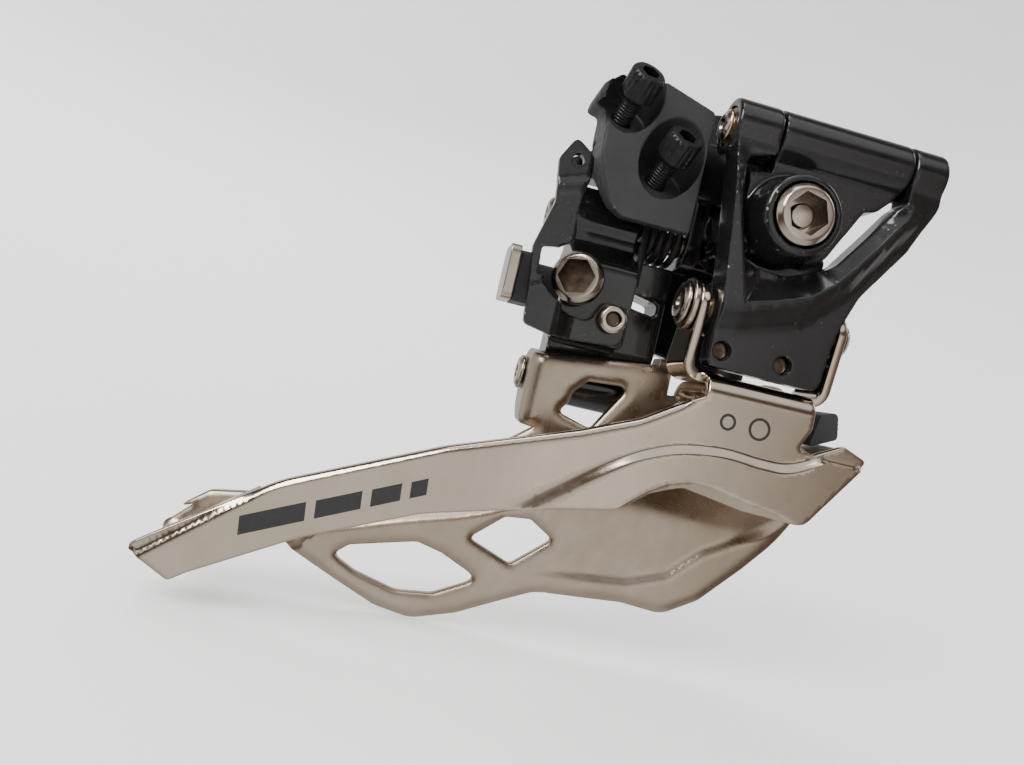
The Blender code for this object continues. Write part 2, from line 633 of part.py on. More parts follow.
def fold(x, y, z):
    """Bends the outer plate's blank: inboard over the neck, then up into an ear at each end of the flange."""
    depth = y - OUTER_PLATE_Y
    quarter = math.pi / 2 * FOLD_R
    past = z - FOLD_Z
    if past <= 0:
        return x, y, z
    side, start = (-1, FLANGE_X[0]) if x < sum(FLANGE_X) / 2 else (1, FLANGE_X[1])
    out = side * (x - start)
    if out > 0:
        y = OUTER_PLATE_Y + FOLD_R + past - quarter
        quarter = math.pi / 2 * EAR_BEND_R
        r = EAR_BEND_R + depth
        if out < quarter:
            a = out / EAR_BEND_R
            return start + side * r * math.sin(a), y, FLANGE_Z + EAR_BEND_R - r * math.cos(a)
        return start + side * r, y, FLANGE_Z + EAR_BEND_R + out - quarter
    if past < quarter:
        a, r = past / FOLD_R, FOLD_R - depth
        return x, OUTER_PLATE_Y + FOLD_R - r * math.cos(a), FOLD_Z + r * math.sin(a)
    return x, OUTER_PLATE_Y + FOLD_R + past - quarter, FLANGE_Z - depth


def build_outer_plate(parts):
    """One pressed sheet: the long outer plate of the cage, its folded neck and flange, and the two pivot ears."""
    # On the flat blank the flange starts at flange_v, and an ear's height is measured from its own bend.
    flange_v = FOLD_Z + math.pi / 2 * FOLD_R
    inner_v = flange_v + FLANGE_DEPTH
    pivot_v = flange_v + LOWER_OUTER[0] - OUTER_PLATE_Y - FOLD_R
    pivot_u = LOWER_OUTER[1] - FLANGE_Z - EAR_BEND_R + math.pi / 2 * EAR_BEND_R
    neck = (-6.3, 10.8)
    outline = [(neck[1], flange_v), (FLANGE_X[1] + 0.1, flange_v + 0.3)]
    outline += arc((FLANGE_X[1] + pivot_u, pivot_v), CAGE_EAR_R, -90, 80, 8)
    outline += [(FLANGE_X[1] + 0.2, inner_v), (FLANGE_X[0] - 0.2, inner_v)]
    outline += arc((FLANGE_X[0] - pivot_u, pivot_v), CAGE_EAR_R, 100, 270, 8)
    outline += [(FLANGE_X[0] - 0.1, flange_v + 0.3), (neck[0], flange_v)]
    outline += rounded(
        [
            (neck[0], -28.0, 0), (-8.5, -29.1, 3), (-15.2, -33.4, 8), (-23.5, -36.9, 10), (-41.8, -43.3, 20),
            (-62.8, -52.7, 20), (-80.9, -65.4, 1.0), (-74.2, -68.9, 0.8), (-71.9, -67.3, 2), (-58.5, -59.8, 20),
            (-43.0, -53.2, 20), (-25.9, -48.9, 12), (-15.8, -46.9, 5), (-11.6, -43.6, 4), (-7.0, -41.8, 3),
            (3.0, -43.4, 8), (12.3, -43.6, 2.5), (20.5, -32.1, 0.8), (16.4, -30.6, 0.8), (12.0, -32.9, 1),
            (9.2, -32.8, 1), (neck[1], -29.3, 1), (neck[1], -28.0, 0),
        ]
    )  # fmt: skip
    band_line = [(-33, -51), (-25, -47.4), (-14, -38.8), (-8, -35.9), (2, -36.0), (7, -35.6), (13, -33)]
    lip_line = [(-16, -46.5), (-9, -41.2), (-3, -40.6), (9, -43.0), (14, -44)]

    def middle(x, z):
        # A raised band crosses the nose, and a hollow sits behind the notch in the lower edge.
        band = ramp(-above_line(x, z, band_line), 0.0, 1.6)
        lip = ramp(above_line(x, z, lip_line), -0.4, 1.2)
        return OUTER_PLATE_Y - 0.9 * ramp(x, -30.0, -20.0) * band * lip

    parts.piece(
        "cage_outer_plate",
        "cage",
        "nickel_sheet",
        relief(outline, [], lambda x, z: middle(x, z) - SHEET / 2, lambda x, z: middle(x, z) + SHEET / 2, 3.4, fold),
        cuts=[rod(on(LOWER_OUTER), (1, 0, 0), -20, 30, PIN_R + FIT)]
        + [rod((x, FLANGE_RIVET_Y, 0), (0, 0, 1), -40, 0, RIVET_R + FIT, 12) for x in FLANGE_RIVET_X],
    )


def shape_inner_plate(x, y, z):
    """Bends the inner plate's blank: the rear end inboard into an ear, and the top outboard into a flange."""
    depth = y - PANEL_Y
    out, past = REAR_EAR_X - x, z - INNER_FLANGE_Z
    if out > 0 and z > PANEL_RISE[1]:
        quarter = math.pi / 2 * PANEL_BEND_R
        r = PANEL_BEND_R - depth
        if out < quarter:
            a = out / PANEL_BEND_R
            return REAR_EAR_X - r * math.sin(a), PANEL_Y + PANEL_BEND_R - r * math.cos(a), z
        return REAR_EAR_X - r, PANEL_Y + PANEL_BEND_R + out - quarter, z
    if past > 0 and x > FLANGE_X[0]:
        quarter = math.pi / 2 * PANEL_BEND_R
        r = PANEL_BEND_R + depth
        if past < quarter:
            a = past / PANEL_BEND_R
            return x, PANEL_Y - PANEL_BEND_R + r * math.cos(a), INNER_FLANGE_Z + r * math.sin(a)
        return x, PANEL_Y - PANEL_BEND_R - (past - quarter), INNER_FLANGE_Z + r
    return x, y, z


def build_inner_plate(parts):
    """The inner plate of the cage: a broad pressed sheet with windows, a tail arm, an ear and a flange."""
    flange_top = INNER_FLANGE_Z + math.pi / 2 * PANEL_BEND_R + 7.0
    ear_u = REAR_EAR_X - math.pi / 2 * PANEL_BEND_R - (LOWER_INNER[0] - PANEL_Y - PANEL_BEND_R)
    outline = rounded(
        [
            (-80.2, -64.6, 1), (-78.4, -67.4, 1), (-70.0, -64.6, 6), (-63.5, -63.6, 3), (-60.4, -64.9, 2),
            (-53.6, -67.9, 8), (-46.4, -70.9, 6), (-40.5, -71.9, 6), (-33.6, -69.8, 8), (-22.0, -64.0, 8),
            (-8.0, -63.0, 8), (-1.0, -63.6, 5), (4.6, -60.3, 6), (10.8, -53.8, 6), (19.6, -43.4, 3),
            (20.2, -34.0, 2), (11.0, -30.6, 1),
        ]
    )  # fmt: skip
    outline += [(11.0, flange_top), (-4.6, flange_top), (-5.6, INNER_FLANGE_Z + 0.2)]
    outline += [(-6.9, -28.8), (-7.0, -23.9), (REAR_EAR_X, -26.6), (REAR_EAR_X - 1.0, -26.7)]
    outline += arc((ear_u, LOWER_INNER[1]), 4.4, 80, 205, 7)
    outline += [(ear_u - 2.4, -36.4), (ear_u, -38.4), (REAR_EAR_X, -38.8)]
    outline += rounded([(-29.2, -40.9, 3), (-35.0, -43.6, 10), (-52.0, -51.6, 10), (-66.4, -57.5, 6),
                        (-74.3, -58.8, 2), (-79.0, -62.6, 1)])  # fmt: skip
    big_window = rounded(
        [(-54.0, -64.3, 1), (-52.0, -62.6, 1.5), (-42.0, -60.0, 2), (-37.8, -61.2, 2), (-31.4, -63.9, 1),
         (-38.0, -67.4, 3), (-43.6, -68.0, 4), (-50.4, -66.3, 3)]
    )  # fmt: skip
    small_window = rounded(
        [(-34.2, -57.8, 0.8), (-29.2, -53.4, 1.2), (-25.2, -53.0, 1.2), (-21.0, -55.5, 0.8), (-26.9, -60.6, 1)]
    )  # fmt: skip
    panel_window = rounded(
        [(-22.4, -31.6, 0.8), (-20.4, -29.5, 0.8), (-13.6, -29.0, 1), (-18.4, -37.0, 1), (-24.2, -35.4, 0.8),
         (-22.9, -33.6, 1)]
    )  # fmt: skip
    step_line = [(-62, -66), (-59.3, -64), (-57.6, -61.4), (-45.3, -57.4), (-36.8, -55.0), (-30.0, -52.6), (20, -34)]

    def middle(x, z):
        # Above the step the sheet lies further inboard, and it rises further back to the panel.
        step = 1.6 * ramp(above_line(x, z, step_line), -0.4, 1.8) * ramp(-x, 18.0, 34.0)
        rise = ramp(z, *PANEL_RISE)
        return (INNER_PLATE_Y + step) * (1 - rise) + PANEL_Y * rise

    parts.piece(
        "cage_inner_plate",
        "cage",
        "nickel_sheet",
        relief(
            outline,
            [big_window, small_window, panel_window],
            lambda x, z: middle(x, z) - SHEET / 2,
            lambda x, z: middle(x, z) + SHEET / 2,
            3.4,
            shape_inner_plate,
        ),
        cuts=[rod(on(LOWER_INNER), (1, 0, 0), -40, 0, PIN_R + FIT)]
        + [rod((x, FLANGE_RIVET_Y, 0), (0, 0, 1), -40, 0, RIVET_R + FIT, 12) for x in FLANGE_RIVET_X]
        + [rod((BRACKET_RIVET_X, 0, z), (0, 1, 0), -20, 0, RIVET_R + FIT, 12) for z in BRACKET_RIVET_Z],
    )


def build_cage_joints(parts):
    """What joins the two plates: the front ear's bracket, the bridges at nose and tail, and their rivets."""
    ear = arc(LOWER_INNER, 4.4, -90, 90, 10)
    ear += [(-5.5, -23.0), (-8.9, -23.0), (-8.9, -38.6), (-5.0, -38.6)]
    foot = rounded([(-9.1, -38.6, 0), (-1.2, -38.6, 1.5), (-1.2, -28.6, 1.5), (-9.1, -28.6, 0)])
    parts.piece(
        "inner_pivot_bracket",
        "cage",
        "nickel_sheet",
        prism("x", ear, -9.1, -7.6),
        adds=[prism("y", foot, -8.9, -7.5)],
        cuts=[rod(on(LOWER_INNER), (1, 0, 0), -40, 0, PIN_R + FIT)]
        + [rod((BRACKET_RIVET_X, 0, z), (0, 1, 0), -20, 0, RIVET_R + FIT, 12) for z in BRACKET_RIVET_Z],
    )
    for name, z in zip(("upper", "lower"), BRACKET_RIVET_Z):
        at = (BRACKET_RIVET_X, PANEL_Y, z)
        parts.piece(f"bracket_rivet_{name}", "cage", "nickel_bolt", rivet_body(at, (0, 1, 0), -0.9, 2.65))
    for name, x in zip(("rear", "front"), FLANGE_RIVET_X):
        at = (x, FLANGE_RIVET_Y, FLANGE_Z)
        parts.piece(f"flange_rivet_{name}", "cage", "nickel_bolt", rivet_body(at, (0, 0, 1), -2.7, 0.9))

    gap_low, gap_high = OUTER_PLATE_Y + SHEET / 2 + GAP, INNER_PLATE_Y - SHEET / 2 - GAP
    nose = rounded([(9.4, -33.4, 0.5), (12.0, -34.4, 0.8), (16.6, -32.2, 0.5), (16.0, -30.9, 0.5),
                    (12.2, -32.8, 0.8), (10.4, -32.0, 0.5)])  # fmt: skip
    parts.piece("front_bridge", "cage", "nickel_sheet", prism("y", nose, gap_low, gap_high))
    pad = rounded([(12.5, -31.9, 0.5), (17.0, -29.8, 0.8), (16.2, -25.6, 1.0), (13.4, -26.6, 0.8)])
    parts.piece("nose_pad", "cage", "matte_black", prism("y", pad, -22.4, -15.6))

    rise = math.radians(36)
    along, up = Vector((math.cos(rise), 0, math.sin(rise))), Vector((-math.sin(rise), 0, math.cos(rise)))
    corner = Vector((-79.0, 0, -65.0))
    shelf = [corner, corner + along * 15.0, corner + along * 15.0 - up * 1.2, corner - up * 1.2]
    tabs = [corner + along * 2.0, corner + along * 13.0]
    tabs += [corner + along * 12.0 - up * 5.0, corner + along * 4.5 - up * 4.0]
    tail_high = gap_high + 0.6  # the inner plate lies further inboard at the tail
    parts.piece(
        "tail_bridge",
        "cage",
        "nickel_sheet",
        prism("y", [(p.x, p.z) for p in shelf], gap_low, tail_high),
        adds=[
            prism("y", [(p.x, p.z) for p in tabs], gap_low, gap_low + 1.1),
            prism("y", [(p.x, p.z) for p in tabs], tail_high - 1.1, tail_high),
        ],
    )


def rivet_body(at, along, low, high):
    """A rivet's shank with a low round head at each end."""
    profile = [(low - 0.6, 0), (low - 0.6, 1.3), (low - 0.15, 2.1), (low, 2.1), (low, RIVET_R)]
    profile += [(high, RIVET_R), (high, 2.1), (high + 0.15, 2.1), (high + 0.6, 1.3), (high + 0.6, 0)]
    return turned(profile, at, along, 14)


def clear_scene():
    for thing in list(bpy.data.objects):
        bpy.data.objects.remove(thing, do_unlink=True)


def main():
    clear_scene()
    parts = Assembly()
    build_body(parts)
    build_limit_block(parts)
    build_limit_screws(parts)
    build_mount_bolt(parts)
    build_pins(parts)
    build_bushes(parts)
    build_spring(parts)
    build_outer_link(parts)
    build_inner_link(parts)
    build_cable_clamp(parts)
    build_outer_plate(parts)
    build_inner_plate(parts)
    build_cage_joints(parts)


main()
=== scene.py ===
"""A direct-mount bicycle front derailleur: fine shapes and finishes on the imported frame, and a small studio.

Shapes are drawn in millimetres from the mount bolt's axis and lifted into the row frame when a piece is made.
"""

import json
import math

import bmesh
import bpy
import numpy as np
from mathutils import Matrix, Vector
from mathutils.geometry import delaunay_2d_cdt

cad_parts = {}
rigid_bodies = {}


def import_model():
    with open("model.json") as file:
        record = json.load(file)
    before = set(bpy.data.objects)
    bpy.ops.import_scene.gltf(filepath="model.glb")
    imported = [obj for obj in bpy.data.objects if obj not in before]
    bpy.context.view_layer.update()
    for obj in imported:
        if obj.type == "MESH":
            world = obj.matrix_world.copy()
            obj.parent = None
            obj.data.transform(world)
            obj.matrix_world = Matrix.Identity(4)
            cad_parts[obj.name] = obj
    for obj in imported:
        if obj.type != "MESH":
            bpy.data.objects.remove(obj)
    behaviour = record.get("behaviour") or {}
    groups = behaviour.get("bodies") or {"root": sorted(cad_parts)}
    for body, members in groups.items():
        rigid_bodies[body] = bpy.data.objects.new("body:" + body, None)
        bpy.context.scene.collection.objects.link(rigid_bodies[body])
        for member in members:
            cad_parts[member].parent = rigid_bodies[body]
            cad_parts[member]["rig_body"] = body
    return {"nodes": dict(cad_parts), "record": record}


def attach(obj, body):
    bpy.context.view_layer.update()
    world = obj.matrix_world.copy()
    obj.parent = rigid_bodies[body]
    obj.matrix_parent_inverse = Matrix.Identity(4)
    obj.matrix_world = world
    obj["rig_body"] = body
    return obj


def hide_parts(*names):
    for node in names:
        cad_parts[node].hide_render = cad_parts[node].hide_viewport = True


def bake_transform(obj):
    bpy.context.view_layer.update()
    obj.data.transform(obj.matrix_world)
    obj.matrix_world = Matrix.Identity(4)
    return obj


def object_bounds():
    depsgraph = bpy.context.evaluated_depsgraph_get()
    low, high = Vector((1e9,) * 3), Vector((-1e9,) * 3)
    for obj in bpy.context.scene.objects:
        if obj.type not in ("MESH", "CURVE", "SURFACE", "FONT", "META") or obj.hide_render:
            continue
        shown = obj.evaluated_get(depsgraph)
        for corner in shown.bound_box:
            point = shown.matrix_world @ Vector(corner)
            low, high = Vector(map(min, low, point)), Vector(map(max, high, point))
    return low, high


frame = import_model()
CAD_BOX = [list(corner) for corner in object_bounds()]

MM = 0.001
PAD_Z = 7.5  # height of the frame's origin below the mount bolt's axis
X, Y, Z = (1, 0, 0), (0, 1, 0), (0, 0, 1)
CENTRE = (0, 0, 0)
SHARP_ANGLE = math.radians(38)
SLOT_OF = {s["node"]: s["material_slot"] for s in frame["record"]["subparts"]}

UPPER_OUTER = (-22.0, 12.2)
UPPER_INNER = (-5.2, -3.4)
LOWER_OUTER = (-20.0, -14.7)
LOWER_INNER = (-3.2, -30.3)
PIN_R = 1.9
BARREL_R = 4.3
OUTER_PLATE_Y = -25.0
INNER_PLATE_Y = -13.0
PANEL_Y = -10.0
SHEET = 1.5
SCREW_WAY = Vector((0.167, -0.74, 0.65)).normalized()
LOW_SCREW_HEAD = Vector((-25.1, -21.0, 15.0))
HIGH_SCREW_HEAD = Vector((-17.5, -21.0, 7.4))
ANCHOR_AT = Vector((-26.5, -15.4, -14.8))
ANCHOR_WAY = Vector((-0.35, -0.94, 0)).normalized()


# ---------------------------------------------------------------- outlines


def arc(centre, radius, start, end, steps):
    angles = np.radians(np.linspace(start, end, steps + 1))
    return [(centre[0] + radius * math.cos(a), centre[1] + radius * math.sin(a)) for a in angles]


def rounded(corners, steps=7):
    """An outline from (u, v, radius) corners, each filleted by its radius."""
    outline = []
    for i, (u, v, radius) in enumerate(corners):
        here = Vector((u, v))
        back = Vector(corners[i - 1][:2]) - here
        ahead = Vector(corners[(i + 1) % len(corners)][:2]) - here
        half = back.angle(ahead) / 2
        if radius == 0 or half > math.radians(88):
            outline.append((u, v))
            continue
        reach = min(radius / math.tan(half), 0.49 * back.length, 0.49 * ahead.length)
        first, last = here + back.normalized() * reach, here + ahead.normalized() * reach
        for step in range(steps + 1):
            t = step / steps
            point = first * (1 - t) ** 2 + here * 2 * t * (1 - t) + last * t**2
            outline.append((point.x, point.y))
    return outline


def smoothed(line, steps=6):
    """The line redrawn as one smooth curve through the same points."""
    points = [Vector(p) for p in (line[0], *line, line[-1])]
    curve = []
    for a, b, c, d in zip(points, points[1:], points[2:], points[3:]):
        for k in range(steps):
            t = k / steps
            bend = (2 * a - 5 * b + 4 * c - d) * t**2 + (3 * b - a - 3 * c + d) * t**3
            at = 0.5 * (2 * b + (c - a) * t + bend)
            curve.append((at.x, at.y))
    return [*curve, tuple(line[-1])]


def resampled(line, spacing, closed=True):
    """The same line with no edge longer than spacing, and without edges much shorter than it."""
    kept = [line[0]]
    for point in line[1:]:
        if math.dist(point, kept[-1]) > 0.3 * spacing:
            kept.append(point)
    if closed and math.dist(kept[0], kept[-1]) < 0.3 * spacing:
        kept.pop()
    points = []
    ends = kept[1:] + kept[:1] if closed else kept[1:]
    for start, end in zip(kept, ends):
        pieces = max(1, math.ceil(math.dist(start, end) / spacing))
        for k in range(pieces):
            t = k / pieces
            points.append((start[0] + (end[0] - start[0]) * t, start[1] + (end[1] - start[1]) * t))
    if not closed:
        points.append(kept[-1])
    return points


def inside(points, outline):
    points, outline = np.asarray(points), np.asarray(outline)
    found = np.zeros(len(points), bool)
    for (u0, v0), (u1, v1) in zip(outline, np.roll(outline, -1, axis=0)):
        crosses = (v0 > points[:, 1]) != (v1 > points[:, 1])
        with np.errstate(divide="ignore", invalid="ignore"):
            u = (u1 - u0) * (points[:, 1] - v0) / (v1 - v0) + u0
        found ^= crosses & (points[:, 0] < u)
    return found


def clearance(points, line, closed=True):
    """Distance from each point to the nearest edge of the line."""
    points, line = np.asarray(points, float), np.asarray(line, float)
    nearest = np.full(len(points), np.inf)
    ends = np.roll(line, -1, axis=0) if closed else line[1:]
    for start, end in zip(line, ends):
        edge = end - start
        t = np.clip(((points - start) @ edge) / max(edge @ edge, 1e-12), 0, 1)
        nearest = np.minimum(nearest, np.linalg.norm(points - start - t[:, None] * edge, axis=1))
    return nearest


def ramp(value, start, end):
    t = min(1.0, max(0.0, (value - start) / (end - start)))
    return t * t * (3 - 2 * t)


def above_line(u, v, line):
    us, vs = zip(*line)
    return v - float(np.interp(u, us, vs))


# ---------------------------------------------------------------- solids


def circle(count, shift=0.0):
    return [2 * math.pi * (k + shift) / count for k in range(count)]


def skinned(rings, wrap=False, solid=True):
    """A mesh of rings of points, each joined to the next, and with wrap the last to the first.

    A ring may be one point. A solid gets a cap on each open end, and its normals turned outwards.
    """
    bm = bmesh.new()
    rings = [[bm.verts.new(point) for point in ring] for ring in rings]
    sides = max(len(ring) for ring in rings)
    for lower, upper in zip(rings, rings[1:] + rings[:1] if wrap else rings[1:]):
        for k in range(sides):
            corners = [lower[k % len(lower)], lower[(k + 1) % len(lower)]]
            corners += [upper[(k + 1) % len(upper)], upper[k % len(upper)]]
            bm.faces.new(list(dict.fromkeys(corners)))
    if solid:
        for end in () if wrap else (rings[0], rings[-1]):
            if len(end) > 1:
                bm.faces.new(end)
        bmesh.ops.recalc_face_normals(bm, faces=bm.faces)
    return bm


def turned(profile, at, along=X, sides=64):
    """A body of revolution from (height, radius) points. Unless both ends lie on the axis, it is a ring."""
    turn = Vector(along).to_track_quat("Z", "Y")
    rings = []
    for height, radius in profile:
        ring = [(radius * math.cos(a), radius * math.sin(a), height) for a in circle(sides, 0.5)]
        rings.append([Vector(at) + turn @ Vector(point) for point in (ring if radius else ring[:1])])
    return skinned(rings, wrap=profile[0][1] > 0)


def softened(profile, radius=0.25, steps=3):
    """The profile with each inner corner rounded off."""
    made = [profile[0]]
    for before, here, after in zip(profile, profile[1:], profile[2:]):
        here, back, ahead = Vector(here), Vector(before) - Vector(here), Vector(after) - Vector(here)
        if back.length < 1e-6 or ahead.length < 1e-6 or back.angle(ahead) > math.radians(170):
            made.append(tuple(here))
            continue
        first = here + back.normalized() * min(radius, 0.45 * back.length)
        last = here + ahead.normalized() * min(radius, 0.45 * ahead.length)
        for step in range(steps + 1):
            t = step / steps
            made.append(tuple(first * (1 - t) ** 2 + here * 2 * t * (1 - t) + last * t**2))
    return [*made, profile[-1]]


def rod(at, along, low, high, radius, sides=48):
    return turned([(low, 0), (low, radius), (high, radius), (high, 0)], at, along, sides)


def prism(axis, outline, low, high):
    """An outline pushed along an axis. The outline's own axes are the other two, in X, Y, Z order."""
    bm = bmesh.new()
    order = {"x": (2, 0, 1), "y": (0, 2, 1), "z": (0, 1, 2)}[axis]
    ends = []
    for level in (low, high):
        ends.append([bm.verts.new([(u, v, level)[k] for k in order]) for u, v in outline])
    bm.faces.new(ends[0])
    bm.faces.new(ends[1])
    for k in range(len(outline)):
        n = (k + 1) % len(outline)
        bm.faces.new((ends[0][k], ends[0][n], ends[1][n], ends[1][k]))
    bmesh.ops.recalc_face_normals(bm, faces=bm.faces)
    return bm


def hexagon(at, along, low, high, across, spin=0.0):
    """A six-sided bar, with a small radius in each corner."""
    radius = across / math.sqrt(3)
    angles = np.radians(np.arange(0, 360, 60) + spin)
    corners = [(radius * math.cos(a), radius * math.sin(a), 0.3) for a in angles]
    bm = prism("z", rounded(corners, 2), low, high)
    turn = Vector(along).to_track_quat("Z", "Y").to_matrix().to_4x4()
    bmesh.ops.transform(bm, matrix=Matrix.Translation(Vector(at)) @ turn, verts=bm.verts)
    return bm


def inset(loop, distance):
    """The closed loop moved towards its inside."""
    points = np.asarray(loop)
    ahead = np.roll(points, -1, axis=0) - np.roll(points, 1, axis=0)
    ahead /= np.maximum(np.linalg.norm(ahead, axis=1), 1e-9)[:, None]
    shifted = np.roll(points, -1, axis=0)
    area = np.sum(points[:, 0] * shifted[:, 1] - shifted[:, 0] * points[:, 1])
    inward = np.stack([-ahead[:, 1], ahead[:, 0]], axis=1) * np.sign(area)
    return points + inward * distance


def relief(outline, holes, near, far, spacing, bend=None, creases=(), rim=0.0, curl=(1.0, 0.0)):
    """A plate over an (x, z) outline: its faces follow near(x, z) and far(x, z), then bend(x, y, z) bends it.

    Creases are lines on the plate that the mesh gets edges along. Each edge of the plate is rounded by the
    rim radius, and turned inboard over the curl's width by the curl's depth.
    """
    loops = [resampled(loop, spacing) for loop in [outline, *holes]]
    points, edges = [], []
    for loop in loops:
        first = len(points)
        points += loop
        edges += [(first + k, first + (k + 1) % len(loop)) for k in range(len(loop))]
    for loop, side in zip(loops, [1, *[-1] * len(holes)]):
        for distance in (0.17 * rim, 0.47 * rim, rim) if rim else ():
            row = inset(loop, side * distance)
            clear = np.min([clearance(row, other) for other in loops], axis=0) > 0.9 * distance
            first = len(points)
            points += [tuple(p) for p in row[clear]]
            place = np.cumsum(clear) - 1
            joined = [k for k in range(1, len(row)) if clear[k - 1] and clear[k]]
            edges += [(first + place[k - 1], first + place[k]) for k in joined]
    lines = [resampled(line, spacing, closed=False) for line in creases]
    for line in lines:
        first = len(points)
        points += line
        edges += [(first + k, first + k + 1) for k in range(len(line) - 1)]
    low, high = np.min(points, axis=0), np.max(points, axis=0)
    us, vs = np.arange(low[0], high[0], spacing), np.arange(low[1], high[1], spacing)
    grid = np.array([(u + 0.5 * spacing * (k % 2), v) for k, v in enumerate(vs) for u in us])

    def within(candidates, margin):
        kept = inside(candidates, loops[0])
        for loop in loops[1:]:
            kept &= ~inside(candidates, loop)
        if margin:
            for loop in loops:
                kept &= clearance(candidates, loop) > rim + margin
            for line in lines:
                kept &= clearance(candidates, line, closed=False) > margin
        return kept

    points += [tuple(p) for p in grid[within(grid, 0.55 * spacing)]]
    flat, _, triangles, *_ = delaunay_2d_cdt([Vector(p) for p in points], edges, [], 0, 1e-7, False)
    flat = [tuple(p) for p in flat]
    centres = np.array([np.mean([flat[k] for k in t], axis=0) for t in triangles])
    triangles = [t for t, keep in zip(triangles, within(centres, 0)) if keep]

    bm = bmesh.new()
    bend = bend or (lambda x, y, z: (x, y, z))
    margin = np.min([clearance(flat, loop) for loop in loops], axis=0)
    short = np.clip(1 - margin / rim, 0, 1) if rim else 0 * margin
    drop = rim * (1 - np.sqrt(1 - short**2))
    turned_in = curl[1] * np.clip(1 - margin / curl[0], 0, 1) ** 2
    front = [bm.verts.new(bend(x, near(x, z) + t + d, z)) for (x, z), d, t in zip(flat, drop, turned_in)]
    back = [bm.verts.new(bend(x, far(x, z) + t - d, z)) for (x, z), d, t in zip(flat, drop, turned_in)]
    uses = {}
    for t in triangles:
        bm.faces.new([front[k] for k in t])
        bm.faces.new([back[k] for k in reversed(t)])
        for a, b in zip(t, (*t[1:], t[0])):
            uses[frozenset((a, b))] = None if frozenset((a, b)) in uses else (a, b)
    for edge in filter(None, uses.values()):
        a, b = edge
        bm.faces.new((front[b], front[a], back[a], back[b]))
    bmesh.ops.delete(bm, geom=[v for v in bm.verts if not v.link_faces], context="VERTS")
    bmesh.ops.recalc_face_normals(bm, faces=bm.faces)
    return bm


def threaded(at, along, low, high, radius, pitch, depth=0.22, sides=40):
    """A screw shank with a real helical thread, closed at both ends, and tapered at the low one."""
    turn = Vector(along).to_track_quat("Z", "Y")
    rows = int((high - low) / (pitch / 8))
    rings = []
    for row in range(rows + 1):
        height = low + (high - low) * row / rows
        taper = min(1.0, (height - low) / 0.7)
        ring = []
        for k, a in enumerate(circle(sides)):
            phase = (height / pitch - k / sides) % 1.0
            crest = 1 - abs(2 * phase - 1)
            r = (radius - depth + depth * min(1.0, 1.5 * crest)) * (0.62 + 0.38 * taper)
            ring.append(Vector(at) + turn @ Vector((r * math.cos(a), r * math.sin(a), height)))
        rings.append(ring)
    return skinned(rings)


# ---------------------------------------------------------------- finishes


class Graph:
    """A node tree with the few nodes that the finishes and the room are made of."""

    def __init__(self, tree, coordinates):
        self.nodes, self.links = tree.nodes, tree.links
        self.place = self.nodes.new("ShaderNodeTexCoord").outputs[coordinates]

    def spread(self, value, low, high, start=0.3, end=0.7, curve="LINEAR"):
        """The value between start and end mapped to low to high."""
        node = self.nodes.new("ShaderNodeMapRange")
        node.interpolation_type = curve
        for name, number in (("From Min", start), ("From Max", end), ("To Min", low), ("To Max", high)):
            node.inputs[name].default_value = number
        self.links.new(value, node.inputs["Value"])
        return node.outputs["Result"]

    def mixed(self, factor, first, second):
        node = self.nodes.new("ShaderNodeMix")
        node.data_type = "RGBA"
        for name, value in (("A", first), ("B", second)):
            socket = [s for s in node.inputs if s.name == name and s.type == "RGBA"][0]
            if isinstance(value, tuple):
                socket.default_value = (*value, 1)
            else:
                self.links.new(value, socket)
        self.links.new(factor, node.inputs["Factor"])
        return [s for s in node.outputs if s.type == "RGBA"][0]


